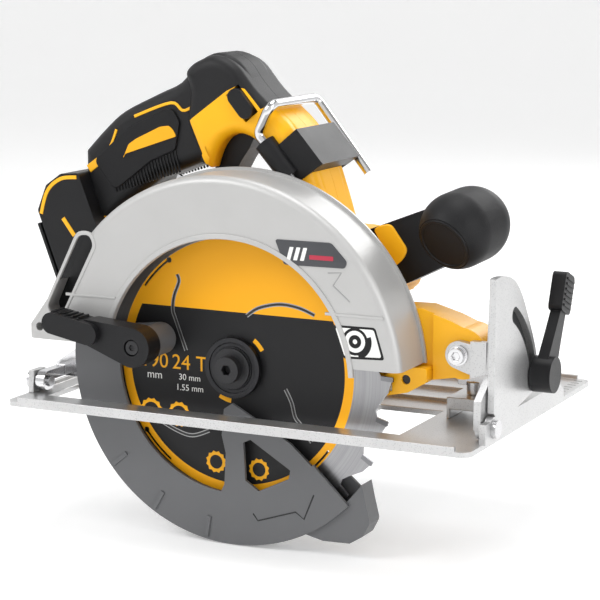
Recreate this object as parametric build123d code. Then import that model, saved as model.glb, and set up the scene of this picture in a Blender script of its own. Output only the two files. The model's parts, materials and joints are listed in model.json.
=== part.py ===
from build123d import *
import math
import os

# Cordless circular saw, millimetres. +X is the cutting direction, +Z up, and +Y runs from the blade
# to the motor. Pieces are drawn with y = 0 on the blade and moved at the end, so that the finished
# part has y = 0 on the handle's split plane and z = 0 on the sole, with x = 0 under the spindle.

# ---- driving dimensions -------------------------------------------------------------------------
blade_r = 95.0                  # 190 mm blade
blade_bore_r = 15.0             # 30 mm bore
plate_t = 1.2                   # steel body of the blade
kerf = 1.55                     # width over the carbide tips
tooth_count = 24
tooth_depth = 8.5
spindle_z = 28.0                # above the sole at the deepest setting, so the blade reaches 67 mm below it
handle_y = 42.0                 # split plane of the handle, measured from the blade

shoe_front = 152.0
shoe_rear = -130.0
shoe_near = -34.5               # edge on the blade's side
shoe_far = 165.0                # edge under the motor
shoe_t = 3.0
rib_h = 2.4                     # height of the shoe's stiffening ribs
slot_near = -12.0               # blade slot in the shoe
slot_far = 24.0
slot_rear = -116.0
slot_front = 104.0

guard_r = 108.5                 # upper guard
guard_face = -22.0
guard_back = 12.2
guard_wall = 2.8
guard_bottom = 38.0
guard_rear = -122.0
arch_x = 4.5                    # opening in the guard's face
arch_r = 74.3

lower_r = 100.0                 # sprung lower guard
lower_wall = 2.0
lower_near = -7.0
lower_far = 8.2
lower_rim = 2.5
nose_reach = 116.0
hub_r = 20.0                    # journal that the lower guard turns on
run_gap = 0.06                  # radial running clearance

gear_module = 1.0
gear_teeth = 40
pinion_teeth = 9
motor_angle = 75.0              # direction from spindle to motor axis, above +X
gear_y0 = 22.0
gear_y1 = 31.0

case_y1 = 38.0                  # gear case and its cover
cover_y1 = 46.0
motor_y1 = 106.0                # motor can and end cap
motor_end = 122.0
motor_r = 41.0
motor_wall = 2.6

handle_half = 18.0              # half width of the grip
foot_half = 28.5                # half width of the battery foot
depth_x = 130.0                 # front pivot for the cutting depth
depth_z = 45.0
depth_pin_r = 4.0
depth_arc_r = 185.0             # slotted arc at the back
depth_range = 29.0
arc_low = -5.0                  # angle of the clamp stud at the deepest setting
bevel_y = -4.0                  # bevel pivot axis, along X
bevel_z = 9.5
bevel_pin_r = 3.0
bevel_pin_head_r = 5.0
bevel_range = 45.0
bevel_arc_r = 63.0
bevel_low = 17.0                # angle of the clamp stud at zero bevel
bevel_slot_w = 9.0
stud_r = 4.0

# ---- values that follow -------------------------------------------------------------------------
gear_pitch_r = gear_module * gear_teeth / 2
pinion_pitch_r = gear_module * pinion_teeth / 2
axis_gap = gear_pitch_r + pinion_pitch_r
motor_x = axis_gap * math.cos(math.radians(motor_angle))
motor_z = spindle_z + axis_gap * math.sin(math.radians(motor_angle))
kerf_half = kerf / 2
plate_half = plate_t / 2
small_bearing = (4.0, 11.0, 7.0)    # inner radius, outer radius, width
big_bearing = (6.0, 14.0, 8.0)


def polar(radius, angle, cx=0.0, cz=spindle_z):
    a = math.radians(angle)
    return (cx + radius * math.cos(a), cz + radius * math.sin(a))


def slab(profile, y0, y1):
    """A profile drawn in X and Z, made solid from y0 to y1."""
    return Rot(90, 0, 0) * Pos(0, 0, -y1) * extrude(profile, amount=y1 - y0)


def plate_x(profile, x0, x1):
    """A profile drawn in Y and Z, made solid from x0 to x1."""
    frame = Plane(origin=(x0, 0, 0), x_dir=(0, 1, 0), z_dir=(1, 0, 0))
    return frame.location * extrude(profile, amount=x1 - x0)


def rod_y(x, z, radius, y0, y1):
    return slab(Pos(x, z) * Circle(radius), y0, y1)


def rod_x(y, z, radius, x0, x1):
    return Pos((x0 + x1) / 2, y, z) * Rot(0, 90, 0) * Cylinder(radius, x1 - x0)


def rod_z(x, y, radius, z0, z1):
    return Pos(x, y, (z0 + z1) / 2) * Cylinder(radius, z1 - z0)


def block(x0, x1, y0, y1, z0, z1):
    return Pos((x0 + x1) / 2, (y0 + y1) / 2, (z0 + z1) / 2) * Box(x1 - x0, y1 - y0, z1 - z0)


def outline(*points):
    return make_face(Polyline(*points, close=True))


def link(xa, za, ra, xb, zb, rb):
    """The outline around two circles."""
    return make_hull((Pos(xa, za) * Circle(ra)).edges() + (Pos(xb, zb) * Circle(rb)).edges())


def sector(r0, r1, a0, a1, cx=0.0, cz=spindle_z):
    """Ring segment from angle a0 up to a1, in degrees."""
    mid = (a0 + a1) / 2
    edges = [
        ThreePointArc(polar(r1, a0, cx, cz), polar(r1, mid, cx, cz), polar(r1, a1, cx, cz)),
        Line(polar(r1, a1, cx, cz), polar(r0, a1, cx, cz)),
        ThreePointArc(polar(r0, a1, cx, cz), polar(r0, mid, cx, cz), polar(r0, a0, cx, cz)),
        Line(polar(r0, a0, cx, cz), polar(r1, a0, cx, cz)),
    ]
    return make_face(edges)


def ring_y(x, z, r0, r1, y0, y1):
    return slab(Pos(x, z) * (Circle(r1) - Circle(r0)), y0, y1)


def spur(teeth, module):
    """Straight-tooth outline about the origin, with a gap on the +X side."""
    pitch = module * teeth / 2
    step = 360 / teeth
    points = []
    for i in range(teeth):
        middle = (i + 0.5) * step
        for radius, half in ((pitch - 1.25 * module, 0.36), (pitch, 0.235), (pitch + 0.9 * module, 0.12)):
            points.append((radius, middle - half * step))
        for radius, half in ((pitch + 0.9 * module, 0.12), (pitch, 0.235), (pitch - 1.25 * module, 0.36)):
            points.append((radius, middle + half * step))
    return outline(*[polar(r, a, 0, 0) for r, a in points])


pieces = {}


def keep(name, *solids):
    """Stores one node: a single solid, or a group of separate ones."""
    pieces[name] = solids


# ---- blade, clamping flanges, spindle and gear ----------------------------------------------------
flange_t = 4.4
inner_r = 20.5
outer_r = 17.0
spindle_r = 8.0
seat_r = 7.0                    # gear's seat on the spindle
bolt_r = 4.0


tip_low = blade_r - 7.0
back_angle = 11.5
slit_r = blade_r - 25.0         # expansion slits in the plate
slit_w = 1.2


def blade():
    step = 360 / tooth_count
    points = []
    for i in range(tooth_count):
        start = i * step
        points.append((blade_r - 0.8, start))
        points.append((tip_low, start + 0.3))
        points.append((tip_low, start + 1.9))
        points.append((blade_r - tooth_depth, start + 4.0))
        points.append((tip_low, start + 6.6))
        points.append((blade_r - 2.4, start + back_angle))
    profile = outline(*[polar(r, a) for r, a in points]) - Pos(0, spindle_z) * Circle(blade_bore_r)
    for i in range(4):
        middle = 45 + 90 * i
        profile -= sector(slit_r, slit_r + slit_w, middle - 9, middle + 9)
        profile -= Pos(*polar(slit_r + slit_w / 2, middle - 9)) * Circle(1.6)
    return slab(profile, -plate_half, plate_half)


def carbide_tips():
    step = 360 / tooth_count
    tips = []
    for i in range(tooth_count):
        start = i * step
        corners = ((blade_r - 0.8, 0), (tip_low, 0.3), (tip_low, 1.9), (blade_r, 1.6), (blade_r, 0.1))
        face = outline(*[polar(r, start + a) for r, a in corners])
        tips.append(slab(face, -kerf_half, kerf_half))
    return tips


keep("saw_blade", blade())
keep("carbide_tips", *carbide_tips())
keep("inner_flange",
     ring_y(0, spindle_z, spindle_r, inner_r, plate_half, plate_half + flange_t)
     + ring_y(0, spindle_z, spindle_r, blade_bore_r - 0.05, -0.4, plate_half))
keep("outer_flange",
     ring_y(0, spindle_z, bolt_r, outer_r, -plate_half - flange_t, -plate_half)
     - ring_y(0, spindle_z, 12.2, 14.2, -plate_half - flange_t, -plate_half - flange_t + 1.0))
bolt_seat = -plate_half - flange_t
hex_key = slab(Pos(0, spindle_z) * RegularPolygon(3.0, 6), bolt_seat - 7.1, bolt_seat - 2.0)
keep("blade_bolt",
     rod_y(0, spindle_z, 11.5, bolt_seat - 1.6, bolt_seat)
     + rod_y(0, spindle_z, 7.5, bolt_seat - 7.0, bolt_seat - 1.6)
     + rod_y(0, spindle_z, bolt_r, bolt_seat, 12.0)
     - hex_key)
big_y0 = 8.0
big_y1 = big_y0 + big_bearing[2]
small_y0 = cover_y1 - 8.0
keep("spindle",
     rod_y(0, spindle_z, spindle_r, -0.4, big_y0 - 0.2)
     + rod_y(0, spindle_z, big_bearing[0] - run_gap, big_y0 - 0.2, gear_y0 - 3)
     + rod_y(0, spindle_z, seat_r, gear_y0 - 3, gear_y1 + 2)
     + rod_y(0, spindle_z, small_bearing[0] - run_gap, gear_y1 + 2, small_y0 + 6.6)
     - rod_y(0, spindle_z, bolt_r, -1.0, 13.0))
gear_face = Pos(0, spindle_z) * Rot(0, 0, motor_angle) * (spur(gear_teeth, gear_module) - Circle(seat_r))
keep("drive_gear", slab(gear_face, gear_y0, gear_y1))

# ---- motor: rotor, stator, bearings -----------------------------------------------------------------
shaft_r = small_bearing[0]
pinion_bore_r = 2.4
end_bearing_y0 = motor_y1 - 2.0
core_y0 = 60.0
core_y1 = 88.0
rotor_r = 13.5
stator_r0 = 14.2
stator_r1 = motor_r - motor_wall - 6.0
fan_y0 = 92.0
fan_y1 = 101.0
fan_r = motor_r - motor_wall - 5.0
pinion_turn = motor_angle + 180 + 180 / pinion_teeth
pinion_flat = spur(pinion_teeth, gear_module) - Circle(pinion_bore_r)
pinion_face = Pos(motor_x, motor_z) * Rot(0, 0, pinion_turn) * pinion_flat
keep("pinion", slab(pinion_face, gear_y0 - 1, gear_y1 + 1))
keep("rotor_shaft",
     rod_y(motor_x, motor_z, pinion_bore_r, gear_y0 - 2, gear_y1 + 1)
     + rod_y(motor_x, motor_z, shaft_r, gear_y1 + 1, small_y0)
     + rod_y(motor_x, motor_z, shaft_r - run_gap, small_y0, cover_y1 + 1)
     + rod_y(motor_x, motor_z, shaft_r, cover_y1 + 1, end_bearing_y0 - 1)
     + rod_y(motor_x, motor_z, shaft_r - run_gap, end_bearing_y0 - 1, end_bearing_y0 + 6.6))
keep("rotor_core", ring_y(motor_x, motor_z, shaft_r, rotor_r, core_y0, core_y1))


def fan():
    hub = ring_y(motor_x, motor_z, shaft_r, 9.0, fan_y0, fan_y1)
    disc = ring_y(motor_x, motor_z, 8.5, fan_r, fan_y0, fan_y0 + 1.6)
    blade_box = block(8.6, fan_r - 0.5, fan_y0 + 1.0, fan_y1, -0.7, 0.7)
    result = hub + disc
    for i in range(11):
        result += Pos(motor_x, 0, motor_z) * Rot(0, 360 / 11 * i, 0) * blade_box
    return result


keep("cooling_fan", fan())
stator_face = Pos(motor_x, motor_z) * (Circle(stator_r1) - Circle(stator_r0))
coil_faces = []
for i in range(6):
    coil_faces.append(sector(stator_r0 + 1.2, stator_r1 - 4.0, 60 * i + 8, 60 * i + 52, motor_x, motor_z))
for coil_face in coil_faces:
    stator_face -= coil_face
keep("stator_core", slab(stator_face, core_y0 - 1, core_y1 + 1))
keep("stator_windings", *[slab(face, core_y0 - 4, core_y1 + 3) for face in coil_faces])


def bearing(x, z, size, y0):
    inner, outer, width = size
    body = ring_y(x, z, inner, outer, y0, y0 + width)
    groove = 0.4
    middle = (inner + outer) / 2
    for y in (y0, y0 + width - groove):
        body -= ring_y(x, z, middle - 1.2, middle + 1.2, y, y + groove)
    return body


keep("front_spindle_bearing", bearing(0, spindle_z, big_bearing, big_y0))
keep("small_bearings",
     bearing(0, spindle_z, small_bearing, small_y0),
     bearing(motor_x, motor_z, small_bearing, small_y0 + 1),
     bearing(motor_x, motor_z, small_bearing, end_bearing_y0))

# ---- gear case, cover, motor can --------------------------------------------------------------------
case_wall = 2.5
case_room_r = gear_pitch_r + gear_module + 0.6
case_r = case_room_r + case_wall
case_top_r = 26.0
spring_r0 = hub_r + 1.6
spring_r1 = hub_r + 8.5
spring_case_r = spring_r1 + 2.5
flange_face = guard_back
case_step = 19.0                # the wide front of the case ends here
case_face = link(0, spindle_z, case_r, motor_x, motor_z, case_top_r)
case_inner = link(0, spindle_z, case_room_r, motor_x, motor_z, case_top_r - case_wall)
lobe_r = 4.6
lock_r = 2.3                    # spindle lock's plunger
lock_y = gear_y1 + lock_r + 0.3
lock_z = spindle_z
lock_travel = 3.0
lock_boss_r = lock_r + 1.9
lock_head_x = -38.0
lock_tip_x = -seat_r - 0.5 - lock_travel
case_screw_r = 2.0
case_head_r = 3.8
guard_head_r = 3.6
case_screws = [polar(spring_case_r + 3.0, a) for a in (160, 20)]
case_screws += [polar(case_top_r + 3.0, a, motor_x, motor_z) for a in (35, 145)]


def gear_case():
    shell = case_face
    for x, z in case_screws:
        shell += Pos(x, z) * Circle(lobe_r)
    body = slab(shell, flange_face, case_y1)
    body += rod_y(0, spindle_z, spring_case_r, flange_face, case_step)
    body -= slab(case_inner, case_step, case_y1)
    body -= ring_y(0, spindle_z, hub_r, spring_r1, flange_face - 1, big_y1)
    body += rod_y(0, spindle_z, hub_r, 5.3, flange_face + 1)
    body -= rod_y(0, spindle_z, big_bearing[1], big_y0, big_y1)
    body -= rod_y(0, spindle_z, spindle_r + 1.0, 5.0, big_y1 + 4)
    body -= ring_y(0, spindle_z, hub_r - 1.0, hub_r + 1, 5.5, 6.1)
    for x, z in case_screws:
        body -= rod_y(x, z, case_screw_r, flange_face, case_y1)
    boss = rod_x(lock_y, lock_z, lock_boss_r, lock_head_x + lock_travel + 1, -case_room_r - 0.5)
    body += boss - slab(case_face, 0, 60)
    body -= rod_x(lock_y, lock_z, lock_r + run_gap, lock_head_x, -case_room_r + 2)
    return body


def gear_cover():
    face = case_face + Pos(motor_x, motor_z) * Circle(motor_r)
    for x, z in case_screws:
        face += Pos(x, z) * Circle(lobe_r)
    body = slab(face, case_y1, cover_y1)
    for x, z in case_screws:
        body -= rod_y(x, z, case_screw_r, case_y1, cover_y1)
        body -= rod_y(x, z, case_head_r, cover_y1 - 3, cover_y1)
    body -= rod_y(0, spindle_z, small_bearing[1], small_y0, small_y0 + small_bearing[2])
    body -= rod_y(motor_x, motor_z, small_bearing[1], small_y0 + 1, cover_y1)
    body -= rod_y(motor_x, motor_z, pinion_pitch_r + gear_module + 1.0, case_y1, cover_y1)
    return body


def motor_can():
    body = ring_y(motor_x, motor_z, motor_r - motor_wall, motor_r, cover_y1, motor_y1)
    body += ring_y(motor_x, motor_z, stator_r1, motor_r - motor_wall, core_y0 + 4, core_y1 - 4)
    for i in range(8):
        slot = block(motor_r - 8, motor_r + 5, 92.5, 100.5, -6, 6)
        body -= Pos(motor_x, 0, motor_z) * Rot(0, 22.5 + 45 * i, 0) * slot
    return body


def end_cap():
    body = rod_y(motor_x, motor_z, motor_r, motor_y1, motor_end)
    body = fillet(body.edges().group_by(Axis.Y)[-1], 9.0)
    body -= rod_y(motor_x, motor_z, motor_r - motor_wall - 6, motor_y1, motor_end - 9.0)
    body -= rod_y(motor_x, motor_z, motor_r - motor_wall - 12, motor_y1, motor_end - 3.0)
    seat = small_bearing[1]
    body += ring_y(motor_x, motor_z, seat, seat + 3, motor_y1, motor_end - 2.0)
    for i in range(6):
        rib = block(seat + 2, motor_r - 9, motor_y1, motor_end - 2.5, -1.2, 1.2)
        body += Pos(motor_x, 0, motor_z) * Rot(0, 60 * i, 0) * rib
    for i in range(12):
        vent = block(18, 30, motor_end - 6, motor_end + 1, -1.6, 1.6)
        body -= Pos(motor_x, 0, motor_z) * Rot(0, 15 + 30 * i, 0) * vent
    return body


keep("gear_case", gear_case())
keep("gear_cover", gear_cover())
keep("motor_housing", motor_can())
keep("motor_end_cap", end_cap())
keep("gear_case_screws", *[
    rod_y(x, z, case_screw_r, flange_face + 6, cover_y1 - 3) + rod_y(x, z, case_head_r, cover_y1 - 3, cover_y1)
    for x, z in case_screws])

# ---- upper guard ---------------------------------------------------------------------------------
guard_flange_r = 110.0
tail_join = 34.0                # angle above the horizontal where the tail leaves the rim
depth_stud = polar(depth_arc_r, 180 - arc_low, depth_x, depth_z)


def guard_outline(radius, tail):
    circle = Pos(0, spindle_z) * Circle(radius)
    lower = outline((-200, guard_bottom), (200, guard_bottom), (200, -200), (-200, -200))
    join = polar(radius, 180 - tail_join)
    rear = outline(join, (tail, guard_bottom + 8), (tail, guard_bottom), (-30, guard_bottom), (-30, 70))
    return (circle - lower) + rear


def upper_guard():
    body = slab(guard_outline(guard_r, guard_rear), guard_face, guard_back)
    rim_edges = [e for e in body.edges().group_by(Axis.Y)[0] if e.center().Z > guard_bottom + 1]
    body = fillet(rim_edges, 5.0)
    body += slab(guard_outline(guard_flange_r, guard_rear - 1), guard_back - 1.8, guard_back)
    cavity = Pos(0, spindle_z) * Circle(guard_r - guard_wall)
    body -= slab(cavity, guard_face + guard_wall, guard_back - guard_wall)
    body -= rod_y(arch_x, spindle_z, arch_r, guard_face - 1, guard_face + guard_wall + 1)
    body -= rod_y(0, spindle_z, spring_r1, guard_back - guard_wall - 1, guard_back + 1)
    chute = link(-84, 94, 7.0, -104, 56, 5.5)
    body -= slab(chute, guard_face - 1, guard_back - guard_wall - 3)
    body -= rod_y(guard_rear + 8, guard_bottom + 7, 2.4, guard_face - 1, guard_back + 1)
    body -= rod_y(*depth_stud, stud_r, 0, 20)
    for x, z in case_screws:
        body -= rod_y(x, z, case_screw_r + 0.1, guard_back - guard_wall - 1, guard_back + 1)
    return body


keep("upper_guard", upper_guard())
keep("guard_screws",
     *[rod_y(x, z, case_screw_r, guard_back - guard_wall, flange_face + 5.9)
       + rod_y(x, z, guard_head_r, guard_back - guard_wall - 1.1, guard_back - guard_wall)
       for x, z in case_screws])

# ---- lower guard, its lever, spring and ring -------------------------------------------------------
lever_x = -44.0
lever_z = 41.5
lever_y0 = guard_face - 21.0
lever_y1 = guard_face - 4.0


def lower_guard():
    rear_end = 172.0
    front_end = 316.0
    hub = Pos(0, spindle_z) * Circle(hub_r + 9.0)
    far_face = sector(hub_r + 4, lower_r, rear_end, front_end + 4) + hub
    far = slab(far_face, lower_far - lower_wall, lower_far)
    rim = slab(sector(lower_r - lower_rim, lower_r, rear_end, front_end), lower_near, lower_far)
    ring = sector(70.5, lower_r, rear_end, front_end)
    spoke = outline((-4, 5), (1, 8.5), (6, 6), (37, -10.5), (66, -36), (30, -58), (-9, -48), (-4, -38),
                    (-3, -20), (-5.5, -10))
    window = outline((8, -13), (12.4, -10.8), (37, -25.5), (36, -30.5), (17.3, -39.6), (9.2, -34.3))
    arm = link(lever_x, lever_z, 9.0, *polar(84, 176), 12.0)
    near = slab(ring + spoke + arm - window, lower_near, lower_near + lower_wall)
    nose_face = outline(
        polar(88, -30), (81, -38), (84, -50), (80, -58), (72, -63), (56, -63.5), polar(96, 294), polar(90, 310))
    nose_face = fillet(nose_face.vertices().sort_by(Axis.X)[-3:], 4.0)
    nose_face -= Pos(0, spindle_z) * Circle(lower_r - lower_rim)
    nose = slab(nose_face, lower_near + lower_wall, lower_far)
    body = far + rim + near + nose
    body += rod_y(lever_x, lever_z, 9.0, lever_y1, lower_near)
    body -= rod_y(lever_x, lever_z, 2.0, lever_y1 - 1, lower_near - 3)
    body -= rod_y(0, spindle_z, hub_r + run_gap, lower_far - 4, lower_far + 1)
    for a in (219.5, 240, 261):
        rib = Rot(0, 0, a) * Pos(92.5, 0) * Rectangle(12, 2.4)
        body += slab(Pos(0, spindle_z) * rib, lower_near - 0.9, lower_near)
    return body


keep("lower_guard", lower_guard())
lever_body = slab(link(lever_x, lever_z, 11.0, -72, 48, 7.0), lever_y0 + 4, lever_y1)
lever_grip = slab(link(-70, 47.5, 6.0, -93, 52, 6.0), lever_y0, lever_y1 - 1)
lever_ribs = [
    block(-94 + 4 * i, -92.4 + 4 * i, lever_y0 + 2, lever_y1 - 3, 50, 58.6 - 0.75 * i) for i in range(5)]
lever_solid = lever_body + lever_grip
for rib in lever_ribs:
    lever_solid += rib
lever_solid -= rod_y(lever_x, lever_z, 2.0, lever_y0, lever_y1)
lever_solid -= rod_y(lever_x, lever_z, 4.6, lever_y0, lever_y0 + 7)
keep("guard_lever", lever_solid)
keep("guard_lever_screw",
     rod_y(lever_x, lever_z, 2.0, lever_y0 + 7, lower_near - 4)
     + rod_y(lever_x, lever_z, 4.0, lever_y0 + 4.6, lever_y0 + 7)
     - slab(Pos(lever_x, lever_z) * RegularPolygon(1.8, 6), lever_y0 + 4, lever_y0 + 6))
keep("guard_retaining_ring", ring_y(0, spindle_z, hub_r - 1.0, hub_r + 1.6, 5.5, 6.1))
spring_mid = (spring_r0 + spring_r1) / 2
keep("guard_spring", *[
    Pos(0, y, spindle_z) * Rot(90, 0, 0) * Torus(spring_mid, 0.75) for y in (10.2, 11.9, 13.6)])

# ---- handle ------------------------------------------------------------------------------------------
loop_top = [
    (-112, 141), (-86, 164.5), (-64, 175), (-49, 182), (-39, 193), (-26, 199), (-12, 194), (0, 179),
    (22, 160), (35, 141), (43, 118), (47, 104)]
loop_low = [
    (64, 104), (88, 76), (86, 70), (50, 66), (motor_x, motor_z), (-30, 60), (-92, 60), (-100, 80), (-112, 108)]
gap_corners = [
    (-98, 98), (-90, 86), (-22, 104), (16, 106), (33, 116), (14, 138), (6, 147), (-1, 153), (-10, 155.5),
    (-19, 152), (-24, 144), (-27, 134), (-33, 138), (-62, 127), (-86, 110)]
room_corners = [
    (-99, 128), (-83, 155), (-62, 169), (-45, 176), (-35, 188), (-25, 193), (-15, 188), (-5, 173), (14, 156),
    (24, 140), (9, 151), (1, 159), (-10, 162), (-24, 158),
    (-31, 149), (-34, 144), (-62, 133), (-87, 116), (-97, 108)]
foot_corners = [(-137, 106), (-131, 121), (-121, 128), (-109, 129), (-85, 68), (-97, 55), (-118, 57)]
wide_half = 22.0                # half width of the hump, the neck and the front boss
shell_wall = 3.0
trigger_half = 9.0
trigger_gap = 0.6
shell_screw_r = 1.5
shell_head_r = 3.0
trigger_pin_x = -16.0
trigger_pin_z = 159.0
trigger_pin_r = 1.5
button_x = -6.0
button_z = 172.0
button_half = 31.0              # the lock-off button shows on both sides

gap_face = fillet(outline(*gap_corners).vertices(), 1.5)
foot_face = fillet(outline(*foot_corners).vertices(), 3.0)
loop_face = make_face([Spline(*loop_top), Polyline(loop_top[-1], *loop_low, loop_top[0])])
loop_face -= gap_face
loop_face -= foot_face
motor_circle = Pos(motor_x, motor_z) * Circle(motor_r)
loop_face -= motor_circle
front_zone = outline((-44, 220), (120, 220), (120, 40), (-8, 40), (-8, 100), (-44, 128))
wide_face = loop_face & front_zone
room_face = outline(*room_corners)
trigger_side = trigger_half + trigger_gap
trigger_room = block(-40, -2, handle_y - trigger_side, handle_y + trigger_side, 126, 168)
button_angle = -50.0
button_face = Pos(button_x, button_z) * Rot(0, 0, button_angle) * SlotOverall(19, 9.6)
button_hole = slab(Pos(button_x, button_z) * Rot(0, 0, button_angle) * SlotOverall(19.2, 9.8),
                   handle_y - wide_half - 1, handle_y + wide_half + 1)

# rafter hook and its barrel on the neck
hook_r = 2.8
barrel_r = 6.0
barrel_y = handle_y - wide_half - 1.4
hook_top = (9.0, 151.0)
hook_dir = (0.66, -0.7513)
barrel_len = 24.0
hook_far_y = 72.0
hook_path = [
    (hook_top[0] + hook_dir[0] * (barrel_len + 3), barrel_y, hook_top[1] + hook_dir[1] * (barrel_len + 3)),
    (hook_top[0] - hook_dir[0] * 6.5, barrel_y, hook_top[1] - hook_dir[1] * 6.5),
    (14.5, barrel_y - 4.4, 172.3),
    (14.5, hook_far_y, 172.3),
    (47.5, hook_far_y, 131.0)]


def along_neck(radius, start, end):
    """A round bar on the barrel's axis, between two distances from the barrel's upper end."""
    upper = (hook_top[0], barrel_y, hook_top[1])
    frame = Plane(origin=upper, x_dir=(0, 1, 0), z_dir=(hook_dir[0], 0, hook_dir[1]))
    return frame.location * Pos(0, 0, (start + end) / 2) * Cylinder(radius, end - start)


def bent_bar(points, radius, bends):
    path = FilletPolyline(*points, radius=bends)
    start = Plane(origin=points[0], z_dir=Vector(*points[1]) - Vector(*points[0]))
    return sweep(start * Circle(radius), path=path)


def shell_half(side):
    narrow = (handle_y + side * handle_half, handle_y)
    wide = (handle_y + side * wide_half, handle_y)
    body = slab(loop_face, min(narrow), max(narrow)) + slab(wide_face, min(wide), max(wide))
    room = (handle_y + side * (handle_half - shell_wall), handle_y)
    body -= slab(room_face, min(room), max(room))
    for x, z in shell_screws:
        post = rod_y(x, z, 4.5, min(room) - 0.1, max(room) + 0.1)
        body += post & slab(loop_face, min(narrow), max(narrow))
        body -= rod_y(x, z, shell_screw_r, handle_y - 13, handle_y + 12)
        body -= rod_y(x, z, shell_head_r + 0.2, handle_y - wide_half - 1, handle_y - 13)
    body -= trigger_room
    body -= button_hole
    body -= rod_y(trigger_pin_x, trigger_pin_z, trigger_pin_r, handle_y - 14, handle_y + 14)
    return body


shell_screws = [(-94, 146), (-44, 172), (-44.5, 143), (27, 142), (-60, 74), (74, 82)]
right_shell = shell_half(-1) - along_neck(barrel_r, -0.5, barrel_len + 0.5)
right_shell -= along_neck(barrel_r, -14.0, barrel_len + 8)
left_shell = shell_half(1)
keep("handle_shell_right", right_shell)
keep("handle_shell_left", left_shell)
housing_screws = [
    rod_y(x, z, shell_screw_r, handle_y - 13, handle_y + 10)
    + rod_y(x, z, shell_head_r, handle_y - 15.5, handle_y - 13)
    for x, z in shell_screws]

pad_face = outline((-104, 136), (-80, 156), (-52, 168), (-47, 160), (-50, 144), (-66, 137), (-90, 119))
pad_face = fillet(pad_face.vertices(), 4.0)
pad_t = 1.6
keep("grip_pads",
     slab(pad_face, handle_y - handle_half - pad_t, handle_y - handle_half),
     slab(pad_face, handle_y + handle_half, handle_y + handle_half + pad_t))

clamp_face = outline((13, 146.5), (28.5, 159.5), (44.5, 141), (28, 129.5))
clamp_band = slab(clamp_face, handle_y - wide_half - 2.0, handle_y + wide_half + 2.0)
clamp_band -= slab(wide_face, handle_y - wide_half, handle_y + wide_half)
clamp_band += along_neck(barrel_r, 0, barrel_len)
keep("hook_clamp", clamp_band - along_neck(hook_r + run_gap, -1, barrel_len + 8))
keep("rafter_hook", bent_bar(hook_path, hook_r, 4.5))

trigger_face = outline(
    (-24, 162), (-10, 162), (-4.5, 153), (-8, 146), (-13, 139), (-17, 132), (-22, 130), (-30, 134), (-33, 146))
trigger_face = fillet(trigger_face.vertices(), 1.6)
keep("trigger", slab(trigger_face, handle_y - trigger_half, handle_y + trigger_half)
     - rod_y(trigger_pin_x, trigger_pin_z, trigger_pin_r + run_gap, 0, 90))
keep("trigger_pin", rod_y(trigger_pin_x, trigger_pin_z, trigger_pin_r, handle_y - 13.5, handle_y + 13.5))
keep("lock_off_button", slab(button_face, handle_y - wide_half - 3.0, handle_y + wide_half + 3.0))
keep("switch_module",
     block(-60, -42, handle_y - 11, handle_y + 11, 150, 166)
     + block(-42, -40.2, handle_y - 3, handle_y + 3, 152, 158))

# battery foot: the battery slides on along the sloping back face
back_top = Vector(-137, 0, 106)
back_low = Vector(-118, 0, 57)
back_dir = (back_low - back_top).normalized()
back_out = Vector(back_dir.Z, 0, -back_dir.X)
back_mid = back_top + back_dir * 27 + Vector(0, handle_y, 0)
back_frame = Plane(origin=back_mid, x_dir=back_dir, z_dir=back_out)


def on_back(length, width, height, shift_x=0.0, shift_y=0.0, shift_z=0.0):
    place = Pos(shift_x, shift_y, shift_z + height / 2)
    return back_frame.location * place * Box(length, width, height)


def battery_foot():
    body = slab(foot_face, handle_y - foot_half, handle_y + foot_half)
    body -= slab(offset(foot_face, -3.2), handle_y - foot_half + 3, handle_y + foot_half - 3)
    for side in (-1, 1):
        body += on_back(40, 4.0, 3.0, 0, side * 22, -0.01)
        body += on_back(40, 8.0, 2.0, 0, side * 22, 2.9)
    body += on_back(34, 26, 2.0, 0, 0, -0.01)
    for i in range(5):
        body -= on_back(14, 1.6, 9, 6, (i - 2) * 5, -5)
    return body


keep("battery_foot", battery_foot())
keep("battery_terminals", *[on_back(12, 0.8, 8.5, 6, (i - 2) * 5, -6) for i in range(5)])
keep("control_module", Pos(-111.5, handle_y, 92) * Rot(0, -21, 0) * Box(14, 42, 46))

# front handle
neck_face = outline((64, 104), (88, 76), (110, 87), (105, 120))
neck_half = 11.0
knob_frame = Plane(origin=(115, 23, 101), z_dir=(0.24, 0.85, 0.46))
knob_r = 21.0
knob_ends = [(117.0, 35.0, 107.0), (119.0, 50.0, 108.5)]
knob_axis = Vector(*knob_ends[1]) - Vector(*knob_ends[0])
knob_middle = (Vector(*knob_ends[0]) + Vector(*knob_ends[1])) / 2
knob = Pos(*knob_ends[0]) * Sphere(knob_r) + Pos(*knob_ends[1]) * Sphere(knob_r)
knob += Plane(origin=knob_middle, z_dir=knob_axis).location * Cylinder(knob_r, knob_axis.length)
knob -= knob_frame.location * Pos(0, 0, -knob_r) * Box(4 * knob_r, 4 * knob_r, 2 * knob_r)
neck = slab(neck_face, handle_y - neck_half, handle_y + neck_half) - knob
keep("front_handle_grip", knob)
keep("front_handle_neck", neck.solids().sort_by(Axis.X)[0])

# ---- front arm with the depth pivot, and the work light ------------------------------------------------
arm_y0 = 10.0
arm_y1 = 32.0
arm_clear = guard_back + 0.4
pivot_r = 14.0


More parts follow.
